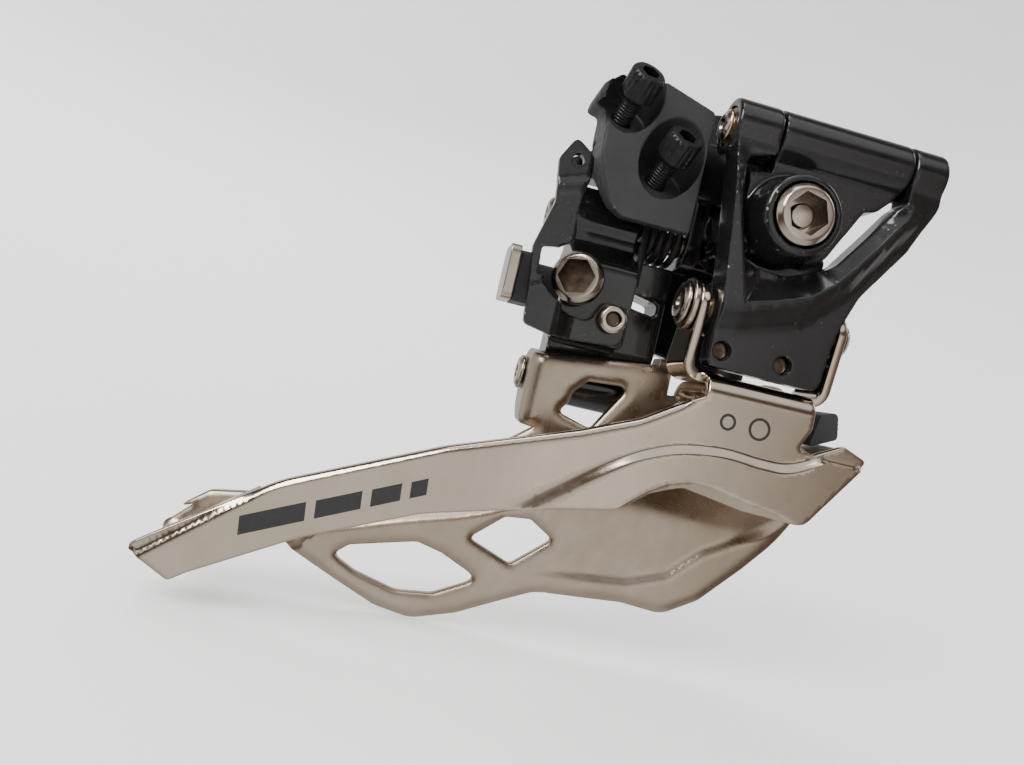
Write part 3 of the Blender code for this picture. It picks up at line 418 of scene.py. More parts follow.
class Finish(Graph):
    """A Principled material whose colour, roughness and fine surface vary over the piece."""

    def __init__(self, name, metallic, coat=0.0, specular=0.5):
        self.material = bpy.data.materials.new(name)
        self.material.use_nodes = True
        super().__init__(self.material.node_tree, "Object")
        self.shader = self.nodes["Principled BSDF"]
        uniform = (("Metallic", metallic), ("Coat Weight", coat), ("Coat Roughness", 0.06))
        for name, value in (*uniform, ("Specular IOR Level", specular)):
            self.shader.inputs[name].default_value = value

    def coordinate(self, axis):
        node = self.nodes.new("ShaderNodeSeparateXYZ")
        self.links.new(self.place, node.inputs["Vector"])
        return node.outputs[axis]

    def stretched(self, scale):
        mapping = self.nodes.new("ShaderNodeMapping")
        mapping.inputs["Scale"].default_value = scale
        self.links.new(self.place, mapping.inputs["Vector"])
        return mapping.outputs["Vector"]

    def noise(self, size, detail=3.0, vector=None):
        """Noise from 0 to 1, whose blobs are about size millimetres across."""
        node = self.nodes.new("ShaderNodeTexNoise")
        for name, value in (("Scale", 1000.0 / size), ("Detail", detail), ("Roughness", 0.55)):
            node.inputs[name].default_value = value
        self.links.new(vector or self.place, node.inputs["Vector"])
        return node.outputs["Fac"]

    def maths(self, operation, first, second):
        node = self.nodes.new("ShaderNodeMath")
        node.operation = operation
        node.use_clamp = operation == "MULTIPLY"
        for socket, value in zip(node.inputs, (first, second)):
            self.links.new(value, socket)
        return node.outputs["Value"]

    def worn_edges(self, sharpness=0.56, breakup_size=0.9):
        """1 on sharp outer edges, broken up into short stretches, and 0 elsewhere."""
        point = self.nodes.new("ShaderNodeNewGeometry").outputs["Pointiness"]
        edge = self.spread(point, 0.0, 1.0, sharpness, sharpness + 0.05)
        return self.maths("MULTIPLY", edge, self.spread(self.noise(breakup_size, 4.0), 0.0, 1.0, 0.47, 0.6))

    def bump(self, layers):
        """Stacks (height, strength, distance in millimetres) layers onto the shader's normal."""
        normal = None
        for height, strength, distance in layers:
            node = self.nodes.new("ShaderNodeBump")
            node.inputs["Strength"].default_value = strength
            node.inputs["Distance"].default_value = distance * MM
            self.links.new(height, node.inputs["Height"])
            if normal:
                self.links.new(normal, node.inputs["Normal"])
            normal = node.outputs["Normal"]
        self.links.new(normal, self.shader.inputs["Normal"])

    def set(self, colour, roughness):
        self.links.new(colour, self.shader.inputs["Base Color"])
        self.links.new(roughness, self.shader.inputs["Roughness"])
        return self.material


def gloss_black():
    f = Finish("gloss_black_paint", 0.0, coat=0.35)
    dust = f.spread(f.noise(0.35, 2.0), 0.0, 0.5, 0.69, 0.74)
    base = f.mixed(f.noise(6.0), (0.0045, 0.0045, 0.0050), (0.0085, 0.0085, 0.0090))
    colour = f.mixed(dust, base, (0.10, 0.10, 0.095))
    colour = f.mixed(f.worn_edges(0.60), colour, (0.20, 0.18, 0.16))
    f.bump([(f.noise(2.2, 1.0), 0.10, 0.05), (f.noise(0.5, 2.0), 0.05, 0.01)])
    return f.set(colour, f.spread(f.noise(3.0, 4.0), 0.10, 0.22))


def plain(name, metallic, tones, mottle, layers, rough, edges=None, specular=0.5):
    """Two tones mottled by a noise, with worn edges, bump layers and uneven roughness.

    Mottle is (size, detail), a layer (size, detail, strength, distance), rough (size, low, high), and edges
    (sharpness, size, colour).
    """
    f = Finish(name, metallic, specular=specular)
    colour = f.mixed(f.noise(*mottle), *tones)
    if edges:
        colour = f.mixed(f.worn_edges(*edges[:2]), colour, edges[2])
    f.bump([(f.noise(size, detail), strength, distance) for size, detail, strength, distance in layers])
    return f.set(colour, f.spread(f.noise(rough[0]), *rough[1:]))


def nickel(name, light, dark, rough, grain=0.08, top_shade=0.0):
    """Warm nickel plate on pressed steel, with a fine grain, a few darker smudges, and painted shade high up.
    """
    f = Finish(name, 1.0)
    colour = f.mixed(f.spread(f.noise(9.0, 3.0), 0.0, 1.0, 0.35, 0.65), light, dark)
    smudge = f.spread(f.noise(2.6, 5.0), 0.0, 0.22, 0.60, 0.78)
    colour = f.mixed(smudge, colour, tuple(0.6 * c for c in dark))
    if top_shade:
        # Painted shade: the colour darkens towards the top of the piece, from about -45 mm of height upward.
        height = f.maths("ADD", f.coordinate("Z"), f.spread(f.noise(7.0), -2 * MM, 2 * MM))
        painted_top_shade = f.spread(height, 0.0, top_shade, -45 * MM, -37 * MM)
        colour = f.mixed(painted_top_shade, colour, (0.15, 0.12, 0.09))
    rough_value = f.spread(f.noise(2.2, 4.0), *rough)
    f.bump([(f.noise(0.4, 3.0), grain, 0.015), (f.noise(5.0, 1.0), 0.10, 0.12)])
    return f.set(colour, rough_value)


def socket(name, light, dark, metallic):
    """The inside of a wrench socket or hollow: broached steel coloured dark as painted shade in the recess."""
    f = Finish(name, metallic)
    colour = f.mixed(f.spread(f.noise(1.1, 4.0), 0.0, 1.0), light, dark)
    f.bump([(f.noise(0.3, 3.0, f.stretched((1.0, 0.25, 1.0))), 0.3, 0.03)])
    return f.set(colour, f.spread(f.noise(0.8), 0.28, 0.45))


LOOKS = {
    "gloss_black": gloss_black(),
    "matte_black": plain(
        "moulded_matte_black", 0.0, ((0.017, 0.0175, 0.019), (0.026, 0.0265, 0.028)), (4.0, 3.0),
        [(0.16, 3.0, 0.30, 0.03), (2.5, 1.0, 0.12, 0.06)], (1.2, 0.42, 0.58),
        (0.57, 1.4, (0.070, 0.070, 0.072)), specular=0.42,
    ),
    "screw_black": plain(
        "black_oxide_steel", 0.55, ((0.010, 0.010, 0.011), (0.028, 0.027, 0.027)), (0.8, 4.0),
        [(0.25, 3.0, 0.15, 0.02)], (0.7, 0.25, 0.42), (0.58, 0.6, (0.17, 0.16, 0.15)),
    ),
    "nickel_sheet": nickel("polished_nickel_sheet", (0.66, 0.565, 0.465), (0.60, 0.505, 0.405), (0.09, 0.17)),
    # The satin sheet carries painted shade towards its top.
    "satin_sheet": nickel(
        "satin_nickel_sheet", (0.56, 0.465, 0.375), (0.50, 0.41, 0.32), (0.25, 0.34), grain=0.2, top_shade=0.15
    ),
    "nickel_bolt": nickel("bright_nickel", (0.68, 0.60, 0.52), (0.50, 0.43, 0.365), (0.12, 0.26), grain=0.15),
    # Dark linings for sockets and hollows: painted shade in the recesses.
    "painted_shade_brown": socket("painted_socket_shade_brown", (0.17, 0.125, 0.09), (0.07, 0.05, 0.04), 1.0),
    "painted_shade_black": socket("painted_socket_shade_black", (0.010, 0.010, 0.010), (0.004, 0.004, 0.004), 0.5),
    "bush_bronze": plain(
        "sintered_bronze", 1.0, ((0.42, 0.29, 0.15), (0.27, 0.18, 0.10)), (0.7, 4.0),
        [(0.2, 3.0, 0.25, 0.03)], (0.6, 0.30, 0.48),
    ),
    "spring_black": plain(
        "phosphated_spring_wire", 0.6, ((0.018, 0.018, 0.019), (0.045, 0.043, 0.042)), (0.5, 4.0),
        [(0.2, 3.0, 0.2, 0.02)], (0.6, 0.28, 0.42),
    ),
    "ink": plain(
        "printed_ink", 0.0, ((0.010, 0.010, 0.011), (0.020, 0.020, 0.021)), (0.6, 3.0),
        [(0.15, 2.0, 0.15, 0.01)], (0.8, 0.28, 0.40),
    ),
}  # fmt: skip


# ---------------------------------------------------------------- pieces


def placed(name, data):
    made = bpy.data.objects.new(name, data)
    bpy.context.scene.collection.objects.link(made)
    return made


def into_object(name, bm):
    for vert in bm.verts:
        vert.co = (vert.co - Vector((0, 0, PAD_Z))) * MM
    mesh = bpy.data.meshes.new(name)
    bm.to_mesh(mesh)
    bm.free()
    return placed(name, mesh)


def show(node, base, adds=(), cuts=(), voxel=0.0, smooth=0, look=None, early=(), twist=None):
    """Builds the fine shape of one node from solids, and puts it in that node's place on its body.

    The early cuts come before the additions, and the others after them. With a twist the piece stays where it
    is made and joins no body; the twist's bodies and points are not used.
    """
    work = [into_object(f"{node}_work_{k}", bm) for k, bm in enumerate([base, *early, *adds, *cuts])]
    made = work[0]
    for k, helper in enumerate(work[1:]):
        boolean = made.modifiers.new(helper.name, "BOOLEAN")
        boolean.operation = "UNION" if len(early) <= k < len(early) + len(adds) else "DIFFERENCE"
        boolean.solver = "EXACT"
        boolean.object = helper
    if voxel:
        remesh = made.modifiers.new("remesh", "REMESH")
        remesh.mode = "VOXEL"
        remesh.voxel_size = voxel * MM
        soft = made.modifiers.new("soft", "SMOOTH")
        soft.factor = 0.5
        soft.iterations = smooth
    bpy.context.view_layer.update()
    mesh = bpy.data.meshes.new_from_object(made.evaluated_get(bpy.context.evaluated_depsgraph_get()))
    for helper in work:
        bpy.data.objects.remove(helper, do_unlink=True)
    return finished(node + "_fine", mesh, frame["nodes"][node]["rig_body"], SLOT_OF[node], look, node, twist)


def finished(name, mesh, body, slot, look=None, node=None, twist=None):
    piece = placed(name, mesh)
    mesh.materials.clear()
    mesh.materials.append(LOOKS[look or slot])
    mesh.shade_smooth()
    mesh.set_sharp_from_angle(angle=SHARP_ANGLE)
    if twist:
        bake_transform(piece)
    else:
        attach(piece, body)
    if node:
        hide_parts(node)
    return piece


def lined(piece, look, at, along, low, high, radius, beyond=0.0):
    """Gives a piece's faces between two heights and two radii of an axis their own finish."""
    piece.data.materials.append(LOOKS[look])
    index, along = len(piece.data.materials) - 1, Vector(along).normalized()
    for face in piece.data.polygons:
        out = face.center / MM + Vector((0, 0, PAD_Z)) - Vector(at)
        height = out.dot(along)
        if low < height < high and beyond < (out - along * height).length < radius:
            face.material_index = index


def on(axis, x=0.0):
    return (x, *axis)


# ---------------------------------------------------------------- fixed body


def pivot_cheek(pivot, radius, top_z, y_span, low, high):
    outline = arc(pivot, radius, 180, 360, 24) + [(y_span[1], top_z), (y_span[0], top_z)]
    return prism("x", outline, low, high)


def show_body():
    y, z = UPPER_OUTER
    web = [(y - 1, z + 3.9), (-14, 15), (-3, 16.5), (-3, -4), (-20, -4.5), (y - 2, z - 3.6)]
    pad = rounded([(-9, -6, 2.5), (9, -6, 2.5), (9, 21, 2.5), (-9, 21, 2.5)])
    bridge = [(-31.5, 3.7), (4, 3.7), (4, 13.5), (-25.6, 13.5)]
    bridge += [(-25.8, 9.5), (-27.2, 6.6), (-29.8, 6.2), (-31.5, 5.2)]
    face = [(-3.7, 13), (16.4, 13), (16.4, 8), (15.6, 6.9), (14, 5.2), (12, 4.6), (7.5, -3.9)]
    face += [(5.4, -5.2), (-4.4, -5.8), (-6.8, 0.5), (-7, 6.2), (-3.7, 6.4)]
    backing = [(-5, 0), (-5.2, -9.2), (6.5, -9.2), (9.3, -5.6), (9.3, -3.6), (7, 0)]
    tongue = rounded([(-9.3, -3, 0), (9, -3, 0), (8.6, -9, 4), (8.2, -24.5, 1.2), (-5.8, -24.5, 1),
                      (-6.2, -22.4, 0.8), (-9.3, -22, 1)])  # fmt: skip
    boss = softened([(-30, 0), (-30, 5.7), (-29.2, 5.95), (-26, 6.1), (-24, 6.6), (-22, 6.4),
                     (-1, 6.4), (-1, 0)], 0.5)  # fmt: skip
    cheek_y = (UPPER_INNER[0] - 4.3, UPPER_INNER[0] + 3.6)
    show(
        "derailleur_body",
        rod(on(UPPER_OUTER), X, -3.9, 17, BARREL_R),
        adds=[
            prism("x", web, -3.5, 8),
            turned(boss, CENTRE, Y, 64),
            prism("y", face, -24, -19.5),
            prism("y", backing, -20.8, -18),
            prism("y", pad, -4, 0),
            prism("y", tongue, -3.4, -0.05),
            prism("y", bridge, -9.9, -1.5),
            pivot_cheek(UPPER_INNER, 4.3, 4.6, cheek_y, -31.6, -29.2),
            pivot_cheek(UPPER_INNER, 4.3, 6, cheek_y, -9.4, -6.6),
        ],
        cuts=[
            rod(on(UPPER_OUTER), X, -6, 20, PIN_R + 0.1),
            rod(on(UPPER_INNER), X, -35, -5, PIN_R + 0.1),
            rod(CENTRE, Y, -40, 10, 3.3),
            rod(CENTRE, Y, -40, -26, 4.75),
            rod(LOW_SCREW_HEAD, SCREW_WAY, -18, 6, 2.1),
        ],
        voxel=0.24,
        smooth=7,
    )


def show_limit_block():
    outline = rounded(
        [
            (-28.7, 4, 2), (-28.9, 12, 0.5), (-31, 12.5, 0.8), (-30.6, 14.3, 1), (-27.7, 17.3, 1.5),
            (-21, 17, 1), (-12.6, 14.6, 1), (-12.4, -4.6, 2), (-18.5, -7.6, 3), (-25.6, -3, 3),
        ]
    )  # fmt: skip
    show(
        "limit_screw_block",
        prism("y", outline, -19.6, -10.2),
        cuts=[
            prism("x", [(-30, -4.4), (-30, -12), (-8, -12), (-8, 3), (-12.2, 2.2), (-17.6, -4.4)], -40, 0),
            rod(LOW_SCREW_HEAD, SCREW_WAY, -20, 10, 1.6),
            rod(HIGH_SCREW_HEAD, SCREW_WAY, -20, 10, 1.6),
            rod(LOW_SCREW_HEAD, SCREW_WAY, -6.5, 14, 4.3),
            rod(HIGH_SCREW_HEAD, SCREW_WAY, -7, 14, 4.8),
        ],
        voxel=0.2,
        smooth=12,
    )


def show_limit_screws():
    half = 2.2
    profile = [(-half - 1.2, 0), (-half - 1.2, 1.25), (-half, 1.3), (-half, 2.3), (-half + 0.5, 2.75)]
    profile = softened([*profile, (half - 0.45, 2.75), (half, 2.35), (half, 0)], 0.15)
    for name, head, length in (("low", LOW_SCREW_HEAD, 14.6), ("high", HIGH_SCREW_HEAD, 12.4)):
        knob = turned(profile, head, SCREW_WAY, 96)
        for vert in knob.verts:
            out = vert.co - head
            height = out.dot(SCREW_WAY)
            around = out - SCREW_WAY * height
            if around.length > 2.5 and height > -half + 0.8:
                side = SCREW_WAY.orthogonal().normalized()
                angle = math.atan2(around.dot(SCREW_WAY.cross(side)), around.dot(side))
                flute = max(0, math.cos(18 * angle)) ** 2
                vert.co -= around.normalized() * 0.24 * flute
        piece = show(
            f"{name}_limit_screw",
            knob,
            adds=[threaded(head, SCREW_WAY, -half - length, -half - 0.4, 1.5, 0.5)],
            cuts=[hexagon(head, SCREW_WAY, half - 2.2, half + 2, 2.6)],
        )
        # The socket gets a near-black lining: painted shade in the recess.
        lined(piece, "painted_shade_black", head, SCREW_WAY, half - 2.5, half - 0.1, 1.55)


def show_mount_bolt():
    seat = -26.95
    head = [(-31, 0), (-31, 3.75), (-30.15, 4.5), (seat, 4.5), (seat, 2.75), (-1.2, 2.75), (-1.2, 0)]
    piece = show(
        "mount_bolt",
        turned(softened(head, 0.3, 4), CENTRE, Y, 96),
        adds=[
            threaded(CENTRE, (0, -1, 0), -9, 1.8, 3, 1, 0.35, 56),
            turned(softened([(-29.3, 0), (-29.3, 1.75), (-28, 1.95), (-28, 0)], 0.3), CENTRE, Y, 48),
        ],
        early=[hexagon(CENTRE, Y, -33, -28.2, 5.5, 12)],
    )
    # The hex socket's walls and floor get a brown lining: painted shade in the recess.
    lined(piece, "painted_shade_brown", CENTRE, Y, -30.75, -28.3, 3.3, beyond=2.1)
    lined(piece, "painted_shade_brown", CENTRE, Y, -28.6, -28.1, 3.3, beyond=1.9)
    ring = softened([(-26.75, 3.3), (-26.75, 4.6), (-26.2, 4.6), (-26.2, 3.3)], 0.12)
    show("mount_washer", turned(ring, CENTRE, Y, 64))


def show_pins():
    pins = (
        ("outer_upper_pin", UPPER_OUTER, (-11.2, 22.8), 2.4, 2.4),
        ("inner_upper_pin", UPPER_INNER, (-31.8, -6.4), 2.7, PIN_R),
        ("outer_lower_pin", LOWER_OUTER, (-10.9, 14.35), 3.2, 2.9),
        ("inner_lower_pin", LOWER_INNER, (-30.4, -7.6), 2.9, 2.6),
    )
    for name, axis, (rear, front), head, peened in pins:
        profile = [(rear - 0.55, 0), (rear - 0.55, 0.8), (rear - 1.1, 1.15), (rear - 1.1, head - 0.7)]
        profile += [(rear - 0.6, head), (rear - 0.15, head), (rear - 0.15, PIN_R), (front + 0.3, PIN_R)]
        if peened > PIN_R:
            profile.append((front + 0.3, peened))
        profile += [(front + 0.9, peened - 0.45), (front + 0.9, 0.9), (front + 0.5, 0.6), (front + 0.5, 0)]
        show(name, turned(softened(profile, 0.2), on(axis), X, 48))
    washer = softened([(-10.85, 2), (-10.85, 4), (-10, 4), (-10, 2)], 0.2)
    show("outer_lower_washer", turned(washer, on(LOWER_OUTER), X, 56))
    bushes = (
        ("outer_upper_rear_bush", UPPER_OUTER, (-11, -4.4)),
        ("outer_upper_front_bush", UPPER_OUTER, (17.5, 22.6)),
        ("outer_lower_bush", LOWER_OUTER, (-7.4, 11.7)),
        ("inner_upper_bush", UPPER_INNER, (-28.6, -17.7)),
        ("inner_lower_bush", LOWER_INNER, (-28.3, -9.6)),
    )
    for name, axis, (low, high) in bushes:
        ring = softened([(low, 2), (low, 2.85), (high, 2.85), (high, 2)], 0.15)
        show(name, turned(ring, on(axis), X, 40))


def show_spring():
    """The return spring's wire as one tube: its rear leg bears on the inner link, the other on the body."""
    turns, steps, mean_r, wire_r = 4, 40, 3.7, 0.6
    first_x, last_x = -16.4, -10.7
    y, z = UPPER_INNER
    web_y, arm_z = -9.6, 3.0
    route = [(first_x, web_y, z - 9.2), (first_x, web_y, z - 5)]
    for k in range(turns * steps + 1):
        a = math.pi - 2 * math.pi * k / steps
        x = first_x + (last_x - first_x) * k / (turns * steps)
        route.append((x, y + mean_r * math.cos(a), z + mean_r * math.sin(a)))
    route += [(last_x, y - mean_r, arm_z - 1.2), (last_x, y - mean_r + 0.6, arm_z), (last_x, y, arm_z)]
    route = [Vector(p) for p in route]
    side, rings = Vector(X), []
    for k, here in enumerate(route):
        ahead = (route[min(k + 1, len(route) - 1)] - route[max(k - 1, 0)]).normalized()
        side = (side - ahead * side.dot(ahead)).normalized()
        across = ahead.cross(side)
        rings.append([here + (side * math.cos(a) + across * math.sin(a)) * wire_r for a in circle(16)])
    start, end = ((x * MM, y * MM, (z - PAD_Z) * MM) for x in (last_x - wire_r, first_x + wire_r))
    show("return_spring", skinned(rings), twist=("mount_frame", "inner_link", start, end))


# ---------------------------------------------------------------- links


DIMPLE_X = (-5.5, 4.2)
DIMPLE_Z = -21


def show_outer_link():
    """A cast yoke: a wide window bordered by a sloping inner face, above a broad flat foot."""
    rear, front = -11.2, 22.8
    foot_rear, foot_front = -7.6, 11.9
    bottom = -23.6
    outline = rounded(
        [
            (rear, 14, 1), (-4.2, 14, 0), (-4.2, 8.6, 0.5), (-8.6, 7.4, 1.5), (-7.8, 0.5, 3),
            (-5.6, -7.5, 2.2), (2, -7.9, 4), (8.5, -5.2, 6), (13.2, 1.4, 5), (16.3, 6, 1), (17.4, 7, 0),
            (17.4, 14, 0),
            (front, 14, 1), (front - 0.4, 7, 5), (19.4, 0, 6), (13.6, -8.4, 8), (foot_front - 0.6, -15, 4),
            (10.4, bottom, 1.5), (foot_rear + 0.4, bottom, 1.5), (foot_rear, -14.5, 3), (-8.8, -4, 8),
        ]
    )  # fmt: skip
    barrels = ((UPPER_OUTER, rear, -4.2), (UPPER_OUTER, 17.3, front), (LOWER_OUTER, foot_rear, foot_front))
    crease = [(-4.4, -13.6), (5.5, -10.4), (11.4, -4.5), (16.5, 2.8)]
    tray = [(-9.6, 9.5), (-8.9, 2), (-4.4, -13.6), (0.5, -12.2), (5.5, -10.4), (8.8, -7.8), (11.4, -4.5),
            (14.4, -0.4), (17.6, 4.6), (18.2, 9.5)]  # fmt: skip

    def front_face(x, z):
        below = above_line(x, z, [(-12, -14.4), *crease, (24, 12)])
        proud = 1.6 * ramp(below, -5, -0.3)
        if inside([(x, z)], tray)[0]:
            proud = 1.6 - min(2.6, 0.85 * clearance([(x, z)], tray)[0])
        upper = ramp(z, 2, 9)
        return (-25.2 - proud) * (1 - upper) - 25.8 * upper

    piece = show(
        "outer_link",
        relief(outline, [], front_face, lambda x, z: -21.4, 0.9, creases=[tray[1:-1]]),
        adds=[
            turned(softened([(low, 0), (low, BARREL_R), (high, BARREL_R), (high, 0)], 0.5), on(axis), X, 56)
            for axis, low, high in barrels
        ],
        cuts=[
            rod(on(UPPER_OUTER), X, -20, 40, 2.95),
            rod(on(LOWER_OUTER), X, -20, 40, 2.95),
            *(rod((x, 0, DIMPLE_Z), Y, -30, -23.5, 1.35) for x in DIMPLE_X),
        ],
        voxel=0.2,
        smooth=5,
    )  # fmt: skip
    # The foot's dimples get the dark brown lining: painted shade in the hollows.
    for x in DIMPLE_X:
        lined(piece, "painted_shade_brown", (x, 0, DIMPLE_Z), Y, -24.3, -23.3, 1.25)


def show_inner_link():
    rear, front = -28.8, -9.8
    block = rounded([(-15.4, -23.4, 1.5), (-8.6, -24, 1), (-3, -22, 1), (-3, -9, 1), (-9, -7.6, 1),
                     (-15.4, -11, 2)])  # fmt: skip
    web = [(-7, -28.5), (-1, -28.5), (-1.6, -5), (-8.9, -5), (-8.7, -23.5)]
    slot = rounded([(-17, -15.8, 0.7), (-11.6, -16.6, 0.7), (-11.6, -14.4, 0.7), (-17, -13.4, 0.7)])
    lug = [(-8.6, -2), (-7.2, 1.9), (-4.6, 2.7), (-3.2, -1)]
    show(
        "inner_link",
        rod(on(UPPER_INNER), X, rear, -17.5, 4.1),
        adds=[
            rod(on(LOWER_INNER), X, rear + 0.3, front + 0.4, 3.9),
            prism("x", web, rear + 0.6, front - 0.4),
            prism("x", block, rear + 0.2, -17.6),
            prism("x", lug, -28.2, -24.2),
        ],
        cuts=[
            prism("y", slot, -30, 10),
            prism("y", [(-17.4, -8.3), (-5, -8.3), (-5, 5), (-17.4, 5)], -20, 10),
            rod(on(UPPER_INNER), X, -40, 0, 2.95),
            rod(on(LOWER_INNER), X, -40, 0, 2.95),
            rod(ANCHOR_AT, ANCHOR_WAY, -7, 8, 2.8),
            rod((-20.8, -15.4, -19.6), Y, -5, 4, 1.5),
        ],
        voxel=0.22,
        smooth=5,
    )  # fmt: skip


def show_cable_clamp():
    face = 4.9
    profile = [(-5.5, 0), (-5.5, 2.3), (1.75, 2.3), (1.75, 4), (face - 0.9, 4), (face, 3.3), (face, 0)]
    piece = show(
        "cable_anchor_bolt",
        turned(softened(profile, 0.25, 4), ANCHOR_AT, ANCHOR_WAY, 96),
        cuts=[hexagon(ANCHOR_AT, ANCHOR_WAY, face - 2.8, face + 2, 5, 8)],
    )
    # The hex socket gets a brown lining: painted shade in the recess.
    lined(piece, "painted_shade_brown", ANCHOR_AT, ANCHOR_WAY, face - 3, face - 0.08, 3)
    rivet = [(-2.6, 0), (-2.6, 1.2), (0.2, 1.2), (0.2, 2.2), (1.1, 2.2), (1.5, 1.8), (1.5, 1.2)]
    rivet += [(0.6, 1), (0.6, 0)]
    piece = show("guide_arm_rivet", turned(softened(rivet, 0.15), (-20.8, -17.35, -19.6), (0, -1, 0), 48))
    # The rivet's hollow end gets a brown lining: painted shade in the hollow.
    lined(piece, "painted_shade_brown", (-20.8, -17.35, -19.6), (0, -1, 0), 0.5, 1.35, 1.1)

    outline = rounded(
        [
            (-34.6, -23.6, 1), (-30.2, -24.4, 1), (-18.2, -23.4, 2), (-18.2, -17.2, 1.5), (-22.4, -17, 1),
            (-24, -20.6, 2), (-30, -20.2, 1.5), (-29.9, -8.8, 1), (-30.6, -6, 1), (-29.9, -1.9, 0.5),
            (-29.4, 0.3, 1), (-29.8, 2.6, 1), (-33, 4.7, 1), (-34.9, 1.2, 1), (-34, -5.2, 2),
            (-35.8, -12.2, 2), (-35, -19, 3),
        ]
    )  # fmt: skip
    pocket = rounded([(-34.4, -16.4, 0.6), (-31.6, -15.4, 0.6), (-31.4, -11.4, 0.6), (-34.4, -12, 0.6)])
    fold = [(-35.4, -17.6), (-33, -17.2), (-30, -15.2)]

    def arm_y(x, z):
        knuckle = 0.5 * (1 - min(1, abs(above_line(x, z, [(-36, -3.4), (-29, -1.2)])) / 1.2))
        lower = 0.5 * ramp(-above_line(x, z, [(-36, -17.8), (-30, -15.2), (-18, -15.2)]), 0, 0.8)
        return -16.6 - 4.4 * ramp(-x, 26.5, 30.5) - knuckle + lower

    show(
        "cable_guide_arm",
        relief(outline, [pocket], lambda x, z: arm_y(x, z) - 0.8, lambda x, z: arm_y(x, z) + 0.8, 0.6,
               creases=[fold, [(-34.2, -2.9), (-30.2, -1.6)]]),
        cuts=[rod(ANCHOR_AT, ANCHOR_WAY, 0, 9, 4.6), rod((-20.8, 0, -19.6), Y, -30, -10, 1.5),
              rod((-32.1, 0, 1.5), Y, -30, -10, 0.9)],
        voxel=0.16,
        smooth=3,
    )  # fmt: skip
    stop = rounded([(-22.6, -20.8, 1.6), (-14.6, -20.8, 1.6), (-14.6, -12.6, 1.6), (-22.6, -12.6, 1.6)])
    block = rounded([(-19.6, -20.6, 0.6), (-13.2, -20.6, 0.6), (-13.2, -12.9, 0.6), (-19.6, -12.9, 0.6)])
    tail = rounded([(-14.2, -20, 0.6), (-9.6, -20, 0.6), (-9.6, -13.4, 0.6), (-14.2, -13.4, 0.6)])
    show("cable_stop_plate", prism("x", stop, -38.8, -37.2), voxel=0.13, smooth=3)
    show("cable_stop_block", prism("x", block, -36.9, -34), adds=[prism("x", tail, -36.6, -29.1)],
         voxel=0.16, smooth=4)  # fmt: skip


# ---------------------------------------------------------------- cage

FOLD_Z = -27.8
FOLD_R = 2.6
EAR_BEND_R = 2.2
FLANGE_X = (-6.8, 11.1)
FLANGE_Z = FOLD_Z + FOLD_R
FLANGE_DEPTH = 9.5
PANEL_RISE = (-50, -39)
PANEL_BEND_R = 1.8
REAR_EAR_X = -27.8
INNER_FLANGE_Z = -28.8
FLANGE_RIVET_X = (-2.8, 7.4)
FLANGE_RIVET_Y = -16.5
BRACKET_RIVET_X = -4.0
BRACKET_RIVET_Z = (-31.2, -36)


def fold(x, y, z):
    """Bends the outer plate's blank: inboard over the neck, then up into an ear at each end of the flange."""
    depth = y - OUTER_PLATE_Y
    quarter = math.pi / 2 * FOLD_R
    past = z - FOLD_Z
    if past <= 0:
        return x, y, z
    side, start = (-1, FLANGE_X[0]) if x < sum(FLANGE_X) / 2 else (1, FLANGE_X[1])
    out = side * (x - start)
    if out > 0:
        y = OUTER_PLATE_Y + FOLD_R + past - quarter
        quarter = math.pi / 2 * EAR_BEND_R
        r = EAR_BEND_R + depth
        if out < quarter:
            a = out / EAR_BEND_R
            return start + side * r * math.sin(a), y, FLANGE_Z + EAR_BEND_R - r * math.cos(a)
        return start + side * r, y, FLANGE_Z + EAR_BEND_R + out - quarter
    if past < quarter:
        a, r = past / FOLD_R, FOLD_R - depth
        return x, OUTER_PLATE_Y + FOLD_R - r * math.cos(a), FOLD_Z + r * math.sin(a)
    return x, OUTER_PLATE_Y + FOLD_R + past - quarter, FLANGE_Z - depth


